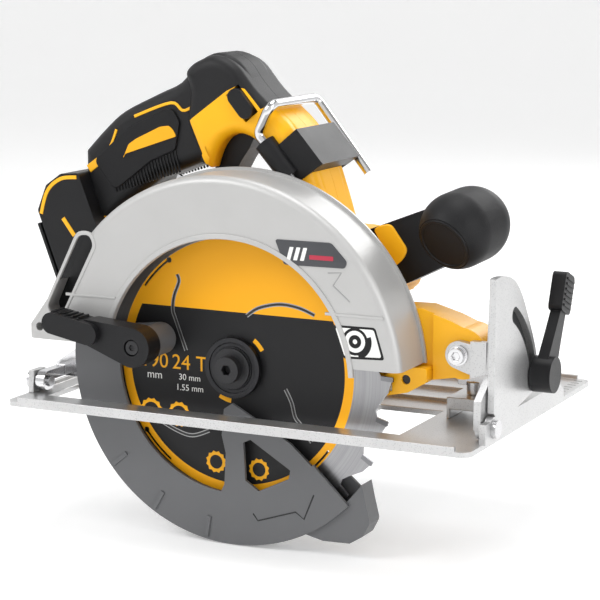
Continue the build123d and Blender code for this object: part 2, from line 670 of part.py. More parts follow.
def front_arm():
    face = outline((22, 44), (60, 60), (84, 66.5), (106, 67), (122, 62.5),
                   (depth_x + 2, depth_z + pivot_r - 0.5),
                   (depth_x, depth_z), (depth_x - 4, depth_z - pivot_r + 0.5), (112, 29), (84, 22), (28, 16))
    face += Pos(depth_x, depth_z) * Circle(pivot_r)
    body = slab(face, arm_clear, arm_y1)
    nose = face & outline((113.5, 0), (160, 0), (160, 90), (113.5, 90))
    body += slab(nose, arm_y0, arm_y1)
    for x, z in case_screws:
        body -= rod_y(x, z, 5.0, 0, 60)
    body -= slab(case_face, 0, 60)
    body -= rod_y(0, spindle_z, spring_case_r, 0, case_step)
    body -= rod_y(depth_x, depth_z, depth_pin_r + run_gap, 0, 60)
    body -= slab(outline((70, 58), (100, 59), (100, 34), (70, 30)), arm_clear + 4, arm_y1 + 1)
    return body


keep("front_arm", front_arm())
light_face = outline((84, 27), (89, 19.5), (102, 22.5), (113, 29), (113, 36.5), (96, 36.5))
light_face = fillet(light_face.vertices(), 1.5)
lens_y = 3.0
light = slab(light_face, lens_y, arm_clear)
light -= block(87.4, 93.0, lens_y - 1, lens_y + 3.0, 22.4, 29.0)
light -= rod_y(101.0, 29.5, 2.6, lens_y - 1, lens_y + 4)
light -= rod_y(101.0, 29.5, 1.2, lens_y, arm_clear + 1)
keep("light_module", light)
keep("light_lens", block(87.6, 92.8, lens_y + 0.4, lens_y + 3.0, 22.6, 28.8))
housing_screws.append(
    rod_y(101.0, 29.5, 2.5, lens_y + 1.4, lens_y + 4) + rod_y(101.0, 29.5, 1.2, lens_y + 4, arm_clear))
keep("housing_screws", *housing_screws)

# ---- depth and bevel carriage -----------------------------------------------------------------------
ear_t = 4.4
ear_gap = 0.4
plate_x0 = 145.6
plate_x1 = 149.6
quad_x0 = 150.4
quad_x1 = 154.0
hub_x0 = quad_x1 + 0.6          # hub of the bevel lever
hub_len = 12.0
stud_end = hub_x0 + hub_len - 0.6
barrel_foot_r = 6.0
stud_y = bevel_y + bevel_arc_r * math.cos(math.radians(bevel_low))
stud_z = bevel_z + bevel_arc_r * math.sin(math.radians(bevel_low))


def front_bracket():
    face = outline((bevel_y, bevel_z - 2), (-12, bevel_z), (-12, 25), (-3, 31), (5, 36), (7, 56), (9, 80),
                   (24, 78),
                   (stud_y + 4, stud_z + 7), (stud_y, stud_z - 8), (20, 24), (6, 18))
    face += Pos(bevel_y, bevel_z) * Circle(barrel_foot_r)
    face += Pos(stud_y, stud_z) * Circle(8.5)
    below = outline((bevel_y - 20, bevel_z - 20), (bevel_y, bevel_z - 20), (bevel_y, bevel_z),
                    (bevel_y - 20, bevel_z))
    face -= below - Pos(bevel_y, bevel_z) * Circle(barrel_foot_r)
    body = plate_x(face, plate_x0, plate_x1)
    root = plate_x0 - 9
    ear = link(depth_x, depth_z, 7.5, plate_x0 - 8, depth_z - 2, 8.0)
    ear += outline((root, depth_z - 12), (plate_x0, depth_z - 9), (plate_x0, depth_z + 8), (root, depth_z + 8))
    for y0 in (arm_y0 - ear_gap - ear_t, arm_y1 + ear_gap):
        body += slab(ear, y0, y0 + ear_t)
    body -= block(plate_x0 - 20, plate_x0, arm_y0 - ear_gap, arm_y1 + ear_gap, 0, 100)
    body -= rod_y(depth_x, depth_z, depth_pin_r, 0, 60)
    body -= rod_x(bevel_y, bevel_z, bevel_pin_r, plate_x0 - 1, plate_x1 + 1)
    body -= rod_x(stud_y, stud_z, stud_r, plate_x0 - 1, plate_x1 + 1)
    return body


keep("front_bracket", front_bracket())
keep("depth_pivot_bolt",
     rod_y(depth_x, depth_z, depth_pin_r, arm_y0 - ear_gap - ear_t, arm_y1 + ear_gap + ear_t)
     + rod_y(depth_x, depth_z, 5.6, arm_y0 - ear_gap - ear_t - 1.2, arm_y0 - ear_gap - ear_t)
     + rod_y(depth_x, depth_z, 4.4, arm_y0 - ear_gap - ear_t - 4.4, arm_y0 - ear_gap - ear_t - 1.2)
     + rod_y(depth_x, depth_z, 6.5, arm_y1 + ear_gap + ear_t, arm_y1 + ear_gap + ear_t + 4)
     - slab(Pos(depth_x, depth_z) * RegularPolygon(2.4, 6), -1, arm_y0 - ear_gap - ear_t - 2.4))
keep("bevel_stud",
     rod_x(stud_y, stud_z, stud_r, plate_x0, stud_end) + rod_x(stud_y, stud_z, 7.0, plate_x0 - 3.0, plate_x0))

arc_y0 = guard_back + 0.8
arc_y1 = arc_y0 + 3.0
arc_half = 4.3                  # half width of the slot
arc_rim = 8.5
arc_a0 = 180 - arc_low          # angles are measured from +X about the front pivot
arc_a1 = 180 - arc_low - depth_range
rear_x0 = -126.0
rear_x1 = -120.0


def depth_bracket():
    margin = math.degrees(arc_half / depth_arc_r)
    rim = math.degrees(arc_rim / depth_arc_r)
    face = sector(depth_arc_r - arc_rim, depth_arc_r + arc_rim, arc_a1 - rim, arc_a0 + rim, depth_x, depth_z)
    web = outline(polar(depth_arc_r - arc_rim, arc_a0 + rim - 0.2, depth_x, depth_z), (-60, 9.5),
                  (rear_x0, 9.5),
                  (rear_x0, 17), (-100, 34), polar(depth_arc_r + arc_rim, arc_a0 - 4, depth_x, depth_z))
    face += web
    face -= sector(depth_arc_r - arc_half, depth_arc_r + arc_half, arc_a1, arc_a0, depth_x, depth_z)
    for a in (arc_a0, arc_a1):
        face -= Pos(*polar(depth_arc_r, a, depth_x, depth_z)) * Circle(arc_half)
    body = slab(face, arc_y0, arc_y1)
    foot = rod_x(bevel_y, bevel_z, barrel_foot_r, rear_x0, rear_x1)
    foot += block(rear_x0, rear_x1, bevel_y, arc_y1, bevel_z, bevel_z + barrel_foot_r)
    body += foot
    body -= rod_x(bevel_y, bevel_z, bevel_pin_r, rear_x0 - 1, rear_x1 + 1)
    return body


keep("depth_bracket", depth_bracket())
keep("depth_stud",
     rod_y(*depth_stud, stud_r, guard_back - guard_wall, arc_y1 + 12)
     + rod_y(*depth_stud, 7.0, guard_back - guard_wall - 0.8, guard_back - guard_wall))
hub_y0 = arc_y1 + 0.4
depth_tip = (-93.0, 43.0)
depth_lever = rod_y(*depth_stud, 9.0, hub_y0, hub_y0 + 9)
depth_lever += slab(link(*depth_stud, 8.0, *depth_tip, 5.0), hub_y0 + 2, hub_y0 + 7)
depth_lever += slab(link(-84, 39.5, 6.0, *depth_tip, 6.5), hub_y0, hub_y0 + 10)
keep("depth_lever", depth_lever - rod_y(*depth_stud, stud_r + run_gap, 0, 60))

lever_tip = (81.0, 69.0)


def bevel_lever():
    body = rod_x(stud_y, stud_z, 10.0, hub_x0, hub_x0 + hub_len)
    arm = outline((stud_y - 8, stud_z + 4), (stud_y + 9, stud_z), (lever_tip[0] + 2, lever_tip[1] - 6),
                  (lever_tip[0] - 6, lever_tip[1] - 4))
    body += plate_x(arm, hub_x0 + 3, hub_x0 + 9)
    paddle = Pos(*lever_tip) * Rot(0, 0, -22) * RectangleRounded(16, 22, 3.0)
    body += plate_x(paddle, hub_x0 + 2, hub_x0 + 10)
    for i in range(6):
        rib = Pos(*lever_tip) * Rot(0, 0, -22) * Pos(0, -7.5 + 3 * i) * Rectangle(12, 1.2)
        body += plate_x(rib, hub_x0 + 10, hub_x0 + 10.8)
    body -= rod_x(stud_y, stud_z, stud_r + run_gap, hub_x0 - 1, stud_end + 0.2)
    return body


keep("bevel_lever", bevel_lever())
lug_x0 = rear_x0 - 4.0
keep("bevel_pivot_pins",
     rod_x(bevel_y, bevel_z, bevel_pin_r, plate_x0 - 1.5, quad_x1)
     + rod_x(bevel_y, bevel_z, bevel_pin_head_r, quad_x1 + 0.1, quad_x1 + 2.6)
     + rod_x(bevel_y, bevel_z, bevel_pin_r, quad_x1, quad_x1 + 0.2),
     rod_x(bevel_y, bevel_z, bevel_pin_r, lug_x0, rear_x1 + 1.5)
     + rod_x(bevel_y, bevel_z, bevel_pin_head_r, lug_x0 - 2.6, lug_x0 - 0.1)
     + rod_x(bevel_y, bevel_z, bevel_pin_r, lug_x0 - 0.2, lug_x0))

# ---- shoe -------------------------------------------------------------------------------------------
pin_hole_r = bevel_pin_r + run_gap
window = (66.0, slot_front, slot_far, 50.0)
fence_x0 = 112.0
fence_x1 = 134.0
fence_y0 = 34.0
fence_y1 = 60.0
fence_slot = (20.0, 5.2)        # width and height of the slot for the rip fence bar
rivet_r = 2.0
rivet_head_r = 3.6
rivet_places = [(147.0, 30.0), (147.0, 70.0), (147.0, 100.0)]


def shoe():
    plan = RectangleRounded(shoe_front - shoe_rear, shoe_far - shoe_near, 6.0)
    plate = Pos((shoe_front + shoe_rear) / 2, (shoe_far + shoe_near) / 2, 0) * extrude(plan, amount=shoe_t)
    body = plate - block(slot_rear, slot_front, slot_near, slot_far, -1, shoe_t + 1)
    body -= block(window[0], window[1], window[2] - 1, window[3], -1, shoe_t + 1)
    rib_top = shoe_t + rib_h
    body += block(shoe_rear + 8, shoe_front - 8, shoe_near, shoe_near + 2.4, shoe_t, rib_top)
    body += block(shoe_rear + 8, shoe_front - 8, shoe_far - 2.4, shoe_far, shoe_t, rib_top)
    body += block(shoe_rear, shoe_rear + 2.4, 14, shoe_far - 8, shoe_t, rib_top)
    for y in (70, 100, 130):
        body += block(-110, 100, y, y + 3, shoe_t, rib_top)
    body += block(-110, -34, 28, 31, shoe_t, rib_top)
    for x, y in rivet_places:
        body -= rod_z(x, y, rivet_r, -1, shoe_t + 1)
        body -= rod_z(x, y, rivet_head_r, -1, 1.2)
    return body


def bevel_quadrant():
    crest = [(70, 8), (70.5, 30), (72, 46), (76, 57.5), (79.5, 68.5), (80, 80), (79, 90)]
    edge = Spline([polar(r, a, bevel_y, bevel_z) for r, a in crest])
    wedge = make_face([edge, Polyline(edge @ 1, (bevel_y, bevel_z + 8), (bevel_y + 8, bevel_z), edge @ 0)])
    base = outline((-16, shoe_t), (108, shoe_t), (108, 9), (100, 14), (-16, 14))
    face = wedge + base + Pos(bevel_y, bevel_z) * Circle(6.4)
    half = bevel_slot_w / 2
    bevel_high = bevel_low + bevel_range
    face -= sector(bevel_arc_r - half, bevel_arc_r + half, bevel_low, bevel_high, bevel_y, bevel_z)
    for a in (bevel_low, bevel_high):
        face -= Pos(*polar(bevel_arc_r, a, bevel_y, bevel_z)) * Circle(half)
    body = plate_x(face, quad_x0, quad_x1)
    foot = block(144.0, quad_x1, 20, 108, shoe_t, shoe_t + 2.6)
    body += foot
    body -= rod_x(bevel_y, bevel_z, pin_hole_r, quad_x0 - 1, quad_x1 + 1)
    for x, y in rivet_places:
        body -= rod_z(x, y, rivet_r, shoe_t - 1, 12)
    return body


def fence_guide():
    mid = (fence_x0 + fence_x1) / 2
    body = block(fence_x0, fence_x1, fence_y0, fence_y1, shoe_t, 15)
    body -= block(mid - fence_slot[0] / 2 + 1, mid + fence_slot[0] / 2 - 1, fence_y0 - 1, fence_y1 + 1,
                  shoe_t, shoe_t + fence_slot[1])
    body -= rod_z(mid, (fence_y0 + fence_y1) / 2, 2.5 + run_gap, shoe_t + 2, 16)
    return body


keep("shoe", shoe())
keep("bevel_quadrant", bevel_quadrant())
keep("shoe_rivets", *[
    rod_z(x, y, rivet_r, 1.2, shoe_t + 2.6) + rod_z(x, y, rivet_head_r, 0.4, 1.2)
    + rod_z(x, y, rivet_head_r - 0.5, shoe_t + 2.6, shoe_t + 4.2)
    for x, y in rivet_places])
keep("rear_pivot_lug",
     plate_x(outline((-11, shoe_t), (9, shoe_t), (9, 8), (2, bevel_z + 6.5), (-10, bevel_z + 6.5), (-11, 8)),
             lug_x0, rear_x0 - 0.4) - rod_x(bevel_y, bevel_z, pin_hole_r, lug_x0 - 1, rear_x0))
keep("fence_guide", fence_guide())
fence_mid = ((fence_x0 + fence_x1) / 2, (fence_y0 + fence_y1) / 2)
keep("fence_screw",
     rod_z(*fence_mid, 2.5, shoe_t + fence_slot[1] + 0.2, 22)
     + rod_z(*fence_mid, 4.0, 15.4, 22) + Pos(fence_mid[0], fence_mid[1], 24.5) * Box(18, 3.0, 9))

# ---- spindle lock: a plunger in the back of the gear case ----------------------------------------------
keep("spindle_lock_button",
     rod_x(lock_y, lock_z, lock_r, lock_head_x, lock_tip_x)
     + rod_x(lock_y, lock_z, 6.0, lock_head_x - 4, lock_head_x))

# ---- written out in the finished part's frame ---------------------------------------------------------
to_frame = Pos(0, -handle_y, 0)
os.makedirs("parts", exist_ok=True)
for name, solids in pieces.items():
    placed = [to_frame * solid for solid in solids]
    shape = placed[0] if len(placed) == 1 else Compound(children=placed)
    export_step(shape, f"parts/{name}.step")
print(len(pieces), "nodes written")
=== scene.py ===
import bpy, bmesh, json, math
from mathutils import Matrix, Vector


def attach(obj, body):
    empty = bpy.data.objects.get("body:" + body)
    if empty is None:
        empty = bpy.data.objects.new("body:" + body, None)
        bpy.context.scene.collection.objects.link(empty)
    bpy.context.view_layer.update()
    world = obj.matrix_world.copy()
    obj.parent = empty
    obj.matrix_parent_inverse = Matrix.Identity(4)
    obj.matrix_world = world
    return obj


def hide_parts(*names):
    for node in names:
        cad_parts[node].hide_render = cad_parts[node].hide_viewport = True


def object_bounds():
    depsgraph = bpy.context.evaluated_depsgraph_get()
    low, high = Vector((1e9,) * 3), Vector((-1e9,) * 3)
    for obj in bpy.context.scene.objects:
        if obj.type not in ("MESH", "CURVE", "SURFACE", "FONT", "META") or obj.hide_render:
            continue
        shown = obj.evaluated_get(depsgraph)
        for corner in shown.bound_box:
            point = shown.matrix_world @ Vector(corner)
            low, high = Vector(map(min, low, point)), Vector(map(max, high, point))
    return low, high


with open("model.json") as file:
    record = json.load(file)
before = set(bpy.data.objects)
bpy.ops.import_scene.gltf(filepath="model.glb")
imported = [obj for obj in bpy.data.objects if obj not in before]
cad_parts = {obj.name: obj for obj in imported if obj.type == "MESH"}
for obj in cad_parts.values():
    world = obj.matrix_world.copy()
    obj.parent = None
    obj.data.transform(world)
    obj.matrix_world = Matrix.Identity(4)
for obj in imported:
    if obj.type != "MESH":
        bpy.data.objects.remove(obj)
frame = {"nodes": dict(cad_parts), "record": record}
cadLow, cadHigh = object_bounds()
print("stage 1: frame loaded")

mm = 0.001
splitY = 42.0        # the handle's split plane, counted from the blade, in millimetres
spindleZ = 28.0
nodes = frame["nodes"]
bodyOf = {n: b for b, members in frame["record"]["behaviour"]["bodies"].items() for n in members}
scene = bpy.context.scene


def place(x, y, z):
    return Vector((x * mm, (y - splitY) * mm, z * mm))


def polar(radius, degrees, cx=0.0, cz=spindleZ):
    a = math.radians(degrees)
    return (cx + radius * math.cos(a), cz + radius * math.sin(a))


# shader maths written as expressions on sockets
class Signal:
    def __init__(self, tree, socket):
        self.tree, self.socket = tree, socket

    def join(self, operation, other=None, swapped=False):
        node = self.tree.nodes.new("ShaderNodeMath")
        node.operation = operation
        terms = [other, self] if swapped else [self, other]
        for slot, term in zip(node.inputs, terms):
            if isinstance(term, Signal):
                self.tree.links.new(term.socket, slot)
            elif term is not None:
                slot.default_value = term
        return Signal(self.tree, node.outputs[0])

    def __add__(self, other): return self.join("ADD", other)
    def __radd__(self, other): return self.join("ADD", other)
    def __sub__(self, other): return self.join("SUBTRACT", other)
    def __rsub__(self, other): return self.join("SUBTRACT", other, True)
    def __mul__(self, other): return self.join("MULTIPLY", other)
    def __rmul__(self, other): return self.join("MULTIPLY", other)
    def __truediv__(self, other): return self.join("DIVIDE", other)
    def __lt__(self, other): return self.join("LESS_THAN", other)
    def __gt__(self, other): return self.join("GREATER_THAN", other)
    def higher(self, other): return self.join("MAXIMUM", other)
    def power(self, other): return self.join("POWER", other)
    def root(self): return self.join("SQRT")


class Finish:
    def __init__(self, name):
        self.material = bpy.data.materials.new(name)
        self.material.use_nodes = True
        self.tree = self.material.node_tree
        self.shader = self.tree.nodes["Principled BSDF"]
        self.spot = self.node("ShaderNodeTexCoord", out="Object")

    def node(self, kind, settings=None, values=None, out=0):
        made = self.tree.nodes.new(kind)
        for key, value in (settings or {}).items():
            if key == "stops":
                ramp = made.color_ramp
                while len(ramp.elements) < len(value):
                    ramp.elements.new(0.5)
                for element, (where, colour) in zip(ramp.elements, value):
                    element.position = where
                    element.color = (*colour, 1)
            else:
                setattr(made, key, value)
        for key, value in (values or {}).items():
            if isinstance(value, Signal):
                self.tree.links.new(value.socket, made.inputs[key])
            else:
                made.inputs[key].default_value = value
        return Signal(self.tree, made.outputs[out])

    def axes(self):
        split = self.tree.nodes.new("ShaderNodeSeparateXYZ")
        self.tree.links.new(self.spot.socket, split.inputs[0])
        return [Signal(self.tree, s) for s in split.outputs]

    def noise(self, scale, detail=3.0, where=None, rough=0.55):
        return self.node("ShaderNodeTexNoise", None,
                         {"Vector": where or self.spot, "Scale": scale, "Detail": detail, "Roughness": rough},
                             0)

    def mix(self, share, a, b):
        values = {0: share, 6: a if isinstance(a, Signal) else (*a, 1),
            7: b if isinstance(b, Signal) else (*b, 1)}
        return self.node("ShaderNodeMix", {"data_type": "RGBA"}, values, 2)

    def give(self, socket, value):
        if isinstance(value, Signal):
            self.tree.links.new(value.socket, self.shader.inputs[socket])
        else:
            self.shader.inputs[socket].default_value = value

    def bump(self, height, depth):
        bumped = self.node("ShaderNodeBump", None, {"Height": height, "Distance": depth, "Strength": 1.0})
        self.give("Normal", bumped)


def vectorOf(finish, x, y, z):
    return finish.node("ShaderNodeCombineXYZ", None, {0: x, 1: y, 2: z})


def moulded(name, look):
    f = Finish(name)
    mottle = f.noise(look.get("mottle", 45.0), 4.0)
    grain = f.noise(look.get("grain", 2200.0), 2.0)
    colour = look["colour"]
    spread = look.get("spread", 0.12)
    dark = [c * (1 - spread) for c in colour]
    light = [min(1.0, c * (1 + spread)) for c in colour]
    tone = f.mix(mottle, dark, light)
    if look.get("speckle"):
        dots = f.node("ShaderNodeTexVoronoi", None, {"Vector": f.spot, "Scale": look["speckleScale"]},
            "Distance")
        tone = f.mix((dots < 0.28) * look["speckle"], tone, look["speckleColour"])
    rough = look["rough"] + (mottle - 0.5) * look.get("roughSpread",
        0.12) + (grain - 0.5) * look.get("grainRough", 0.08)
    f.give("Base Color", tone)
    f.give("Metallic", look.get("metal", 0.0))
    f.give("Roughness", rough)
    f.give("Coat Weight", look.get("coat", 0.0))
    f.give("Coat Roughness", 0.15)
    f.give("Specular IOR Level", look.get("specular", 0.5))
    height = grain
    if look.get("dimples"):
        dimples = f.node("ShaderNodeTexVoronoi", None, {"Vector": f.spot, "Scale": look["dimples"]}, "Distance")
        height = height * 0.4 + dimples
    f.bump(height, look.get("relief", 0.00003))
    return f


looks = {
    "castGuard": {"colour": (0.47, 0.468, 0.462), "metal": 0.35, "rough": 0.44, "grain": 1500.0,
        "relief": 0.00005, "spread": 0.05},
    "castCase": {"colour": (0.36, 0.36, 0.36), "metal": 0.55, "rough": 0.5, "grain": 1300.0, "relief": 0.00006},
    "sheetSilver": {"colour": (0.56, 0.56, 0.56), "metal": 0.8, "rough": 0.33, "grain": 700.0,
        "relief": 0.00008,
                    "speckle": 0.35, "speckleScale": 900.0, "speckleColour": (0.26, 0.26, 0.27)},
    "paintGrey": {"colour": (0.118, 0.120, 0.125), "metal": 0.15, "rough": 0.48, "grain": 1700.0,
        "relief": 0.00003, "spread": 0.06},
    "yellowShell": {"colour": (0.97, 0.47, 0.007), "specular": 0.35, "rough": 0.42, "grain": 2600.0,
        "relief": 0.00002, "spread": 0.05, "coat": 0.12},
    "blackShell": {"colour": (0.007, 0.007, 0.008), "specular": 0.28, "rough": 0.42, "grain": 2600.0,
        "relief": 0.00004},
    "overmould": {"colour": (0.008, 0.008, 0.009), "specular": 0.25, "rough": 0.52, "grain": 2400.0,
        "relief": 0.00005, "dimples": 1500.0},
    "steelBright": {"colour": (0.60, 0.60, 0.61), "metal": 1.0, "rough": 0.26, "grain": 1500.0,
        "relief": 0.00001},
    "chromeBar": {"colour": (0.66, 0.66, 0.67), "metal": 1.0, "rough": 0.13, "grain": 1500.0, "relief": 0.00001,
        "roughSpread": 0.05, "grainRough": 0.03},
    "blackSteel": {"colour": (0.028, 0.028, 0.030), "metal": 0.5, "rough": 0.38, "grain": 1800.0,
        "relief": 0.00003},
    "carbide": {"colour": (0.22, 0.22, 0.23), "metal": 1.0, "rough": 0.35},
    "copperWire": {"colour": (0.55, 0.22, 0.08), "metal": 0.9, "rough": 0.35},
    "brassStrip": {"colour": (0.70, 0.50, 0.20), "metal": 1.0, "rough": 0.28},
    "stackedSteel": {"colour": (0.26, 0.26, 0.27), "metal": 0.9, "rough": 0.45},
    "greenBoard": {"colour": (0.03, 0.12, 0.06), "rough": 0.4},
    "inkBlack": {"colour": (0.009, 0.009, 0.010), "specular": 0.25, "rough": 0.45},
    "inkWhite": {"colour": (0.80, 0.80, 0.78), "rough": 0.5},
    "inkOrange": {"colour": (0.96, 0.43, 0.008), "specular": 0.3, "rough": 0.45},
    "badgeGrey": {"colour": (0.055, 0.057, 0.063), "rough": 0.4, "metal": 0.2},
    "badgeRed": {"colour": (0.42, 0.02, 0.05), "rough": 0.4},
    "slotFill": {"colour": (0.02, 0.02, 0.021), "rough": 0.6},
    "slotRim": {"colour": (0.34, 0.34, 0.34), "metal": 0.8, "rough": 0.35}}
finishes = {name: moulded(name, look) for name, look in looks.items()}


def bladePrint():
    f = Finish("bladePrint")
    x, y, z = f.axes()
    radius = (x.power(2.0) + (z - spindleZ * mm).power(2.0)).root()
    rings = f.node("ShaderNodeTexNoise", None,
        {"Vector": vectorOf(f, radius * 2600.0, 0.0, y * 10.0), "Scale": 1.0, "Detail": 2.0})
    steel = f.mix(rings, (0.24, 0.24, 0.25), (0.44, 0.44, 0.45))
    near = y < (-splitY - 0.55) * mm
    printed = (radius < 0.0722) * near
    line = z + x * 0.006 < 0.0588
    black = (radius < 0.0668) * line
    grain = f.noise(1500.0)
    ink = f.mix(black, (0.95, 0.43, 0.008), (0.009, 0.009, 0.010))
    f.give("Base Color", f.mix(printed, steel, ink))
    f.give("Specular IOR Level", 0.3)
    f.give("Metallic", 1.0 - printed)
    f.give("Roughness", 0.3 + rings * 0.12 + printed * 0.12)
    f.bump(rings * (1.0 - printed) + grain * 0.3, 0.00002)
    return f


def turnedSteel(name, colour, rough, cx=0.0, cz=spindleZ):
    f = Finish(name)
    x, y, z = f.axes()
    radius = ((x - cx * mm).power(2.0) + (z - cz * mm).power(2.0)).root()
    rings = f.node("ShaderNodeTexNoise", None,
        {"Vector": vectorOf(f, radius * 3000.0, 0.0, y * 900.0), "Scale": 1.0, "Detail": 2.0})
    f.give("Base Color", f.mix(rings, [c * 0.8 for c in colour], colour))
    f.give("Metallic", 0.9)
    f.give("Roughness", rough + rings * 0.12)
    f.bump(rings, 0.00002)
    return f


def shellPaint():
    f = Finish("shellPaint")
    x, y, z = f.axes()
    low, high = -0.045, 0.035

    def lineAt(points):
        stops = [((px * mm - low) / (high - low), (pz * mm / 0.2,) * 3) for px, pz in points]
        ramp = f.node("ShaderNodeValToRGB", {"stops": stops}, {"Fac": (x - low) / (high - low)})
        return ramp * 0.2

    crest = lineAt([(-44, 158), (-39.8, 161), (-15.6, 178.6), (-10.2, 181.2), (-4.8, 180.1), (5.3, 169.2),
        (10, 171.7), (26.5, 176.8)])
    below = z < crest
    ahead = x + (z - 0.137) * 0.42 > -0.0292
    lowPart = z < 0.1035
    yellow = (below * ahead).higher(lowPart)
    mottle, grain = f.noise(45.0), f.noise(2400.0, 2.0)
    f.give("Base Color", f.mix(yellow, f.mix(mottle, (0.006, 0.006, 0.007), (0.010, 0.010, 0.011)),
        f.mix(mottle, (0.93, 0.45, 0.006), (1.0, 0.50, 0.009))))
    f.give("Specular IOR Level", 0.3)
    f.give("Roughness", 0.50 - yellow * 0.12 + (grain - 0.5) * 0.1)
    f.bump(grain * (1.0 - yellow * 0.7), 0.00005)
    return f


finishes["bladePrint"] = bladePrint()
finishes["shellPaint"] = shellPaint()
finishes["turnedBlack"] = turnedSteel("turnedBlack", (0.045, 0.045, 0.048), 0.34)
finishes["turnedBright"] = turnedSteel("turnedBright", (0.60, 0.60, 0.61), 0.22)
lens = finishes["lensClear"] = Finish("lensClear")
lens.give("Base Color", lens.mix(lens.noise(90.0), (0.85, 0.82, 0.70), (0.95, 0.93, 0.85)))
lens.give("Roughness", 0.08 + lens.noise(300.0) * 0.05)
lens.give("Coat Weight", 1.0)
print("stage 2: finishes made")


def tidyMesh(mesh, sharp=32.0, recalc=True):
    bm = bmesh.new()
    bm.from_mesh(mesh)
    bmesh.ops.remove_doubles(bm, verts=bm.verts, dist=2e-6)
    if recalc:
        bmesh.ops.recalc_face_normals(bm, faces=bm.faces)
    bm.to_mesh(mesh)
    bm.free()
    mesh.shade_smooth()
    mesh.set_sharp_from_angle(angle=math.radians(sharp))


def keepPiece(name, mesh, finish, body, weighted=True):
    obj = bpy.data.objects.new(name, mesh)
    scene.collection.objects.link(obj)
    mesh.materials.clear()
    mesh.materials.append(finishes[finish].material)
    if weighted:
        modifier = obj.modifiers.new("evenShade", "WEIGHTED_NORMAL")
        modifier.keep_sharp = True
    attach(obj, body)
    return obj


def dress(node, finish, width=0.5, angle=40.0, sharp=34.0):
    bm = bmesh.new()
    bm.from_mesh(nodes[node].data)
    bmesh.ops.remove_doubles(bm, verts=bm.verts, dist=2e-6)
    bmesh.ops.dissolve_limit(bm, angle_limit=math.radians(0.6), verts=bm.verts, edges=bm.edges)
    if width:
        edges = [e for e in bm.edges if len(e.link_faces) == 2 and e.calc_face_angle(0.0) > math.radians(angle)]
        bmesh.ops.bevel(bm, geom=edges, offset=width * mm, offset_type="OFFSET", segments=2, profile=0.6,
                        clamp_overlap=True, affect="EDGES")
    mesh = bpy.data.meshes.new(node + "Dressed")
    bm.to_mesh(mesh)
    bm.free()
    mesh.shade_smooth()
    mesh.set_sharp_from_angle(angle=math.radians(sharp))
    obj = keepPiece(node + "_finished", mesh, finish, bodyOf[node])
    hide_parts(node)
    return obj


def flatten(curveObject):
    graph = bpy.context.evaluated_depsgraph_get()
    mesh = bpy.data.meshes.new_from_object(curveObject.evaluated_get(graph))
    data = curveObject.data
    bpy.data.objects.remove(curveObject)
    bpy.data.curves.remove(data)
    return mesh


def roundedSlab(loops, y0, y1, rounding, steps=3):
    curve = bpy.data.curves.new("outline", "CURVE")
    curve.dimensions = "2D"
    curve.fill_mode = "BOTH"
    rounding = min(rounding, (y1 - y0) / 2 - 0.002)
    curve.extrude = ((y1 - y0) / 2 - rounding) * mm
    curve.bevel_depth = rounding * mm
    curve.bevel_resolution = steps
    curve.offset = -rounding * mm
    for loop in loops:
        spline = curve.splines.new("POLY")
        spline.points.add(len(loop) - 1)
        for point, (x, z) in zip(spline.points, loop):
            point.co = (x * mm, z * mm, 0, 1)
        spline.use_cyclic_u = True
    obj = bpy.data.objects.new("outline", curve)
    scene.collection.objects.link(obj)
    bpy.context.view_layer.update()
    mesh = flatten(obj)
    middle = ((y0 + y1) / 2 - splitY) * mm
    mesh.transform(Matrix.Translation((0, middle, 0)) @ Matrix.Rotation(math.radians(90), 4, "X"))
    tidyMesh(mesh)
    return mesh


def eased(points, radius, steps=5):
    made, count = [], len(points)
    for i, (x, z) in enumerate(points):
        a, b = Vector(points[i - 1]), Vector(points[(i + 1) % count])
        p = Vector((x, z))
        u, v = (a - p), (b - p)
        reach = min(radius, u.length * 0.45, v.length * 0.45)
        start, end = p + u.normalized() * reach, p + v.normalized() * reach
        for k in range(steps + 1):
            t = k / steps
            q = start * (1 - t) ** 2 + p * 2 * t * (1 - t) + end * t ** 2
            made.append((q.x, q.y))
    return made


def flowing(points, steps=5, closed=False):
    made, count = [], len(points)
    spans = count if closed else count - 1
    for i in range(spans):
        p = [Vector(points[(i + k) % count] if closed else points[max(0, min(count - 1, i + k))]) for k in (-1,
            0, 1, 2)]
        for k in range(steps):
            t = k / steps
            q = 0.5 * (2 * p[1] + (p[2] - p[0]) * t + (2 * p[0] - 5 * p[1] + 4 * p[2] - p[3]) * t * t
                       + (3 * p[1] - p[0] - 3 * p[2] + p[3]) * t ** 3)
            made.append(tuple(q))
    if not closed:
        made.append(tuple(points[-1]))
    return made


def ribbon(points, width):
    left, right = [], []
    for i, (x, z) in enumerate(points):
        a = Vector(points[max(0, i - 1)])
        b = Vector(points[min(len(points) - 1, i + 1)])
        side = Vector((-(b - a).y, (b - a).x)).normalized() * width / 2
        left.append((x + side.x, z + side.y))
        right.append((x - side.x, z - side.y))
    return left + right[::-1]


def arcPoints(radius, a0, a1, steps, cx=0.0, cz=spindleZ):
    return [polar(radius, a0 + (a1 - a0) * i / steps, cx, cz) for i in range(steps + 1)]


# geometry nodes: one stamp repeated along a straight row, or round an arc about a Y axis
def socketId(tree, name):
    return next(s.identifier for s in tree.interface.items_tree if s.name == name and s.in_out == "INPUT")


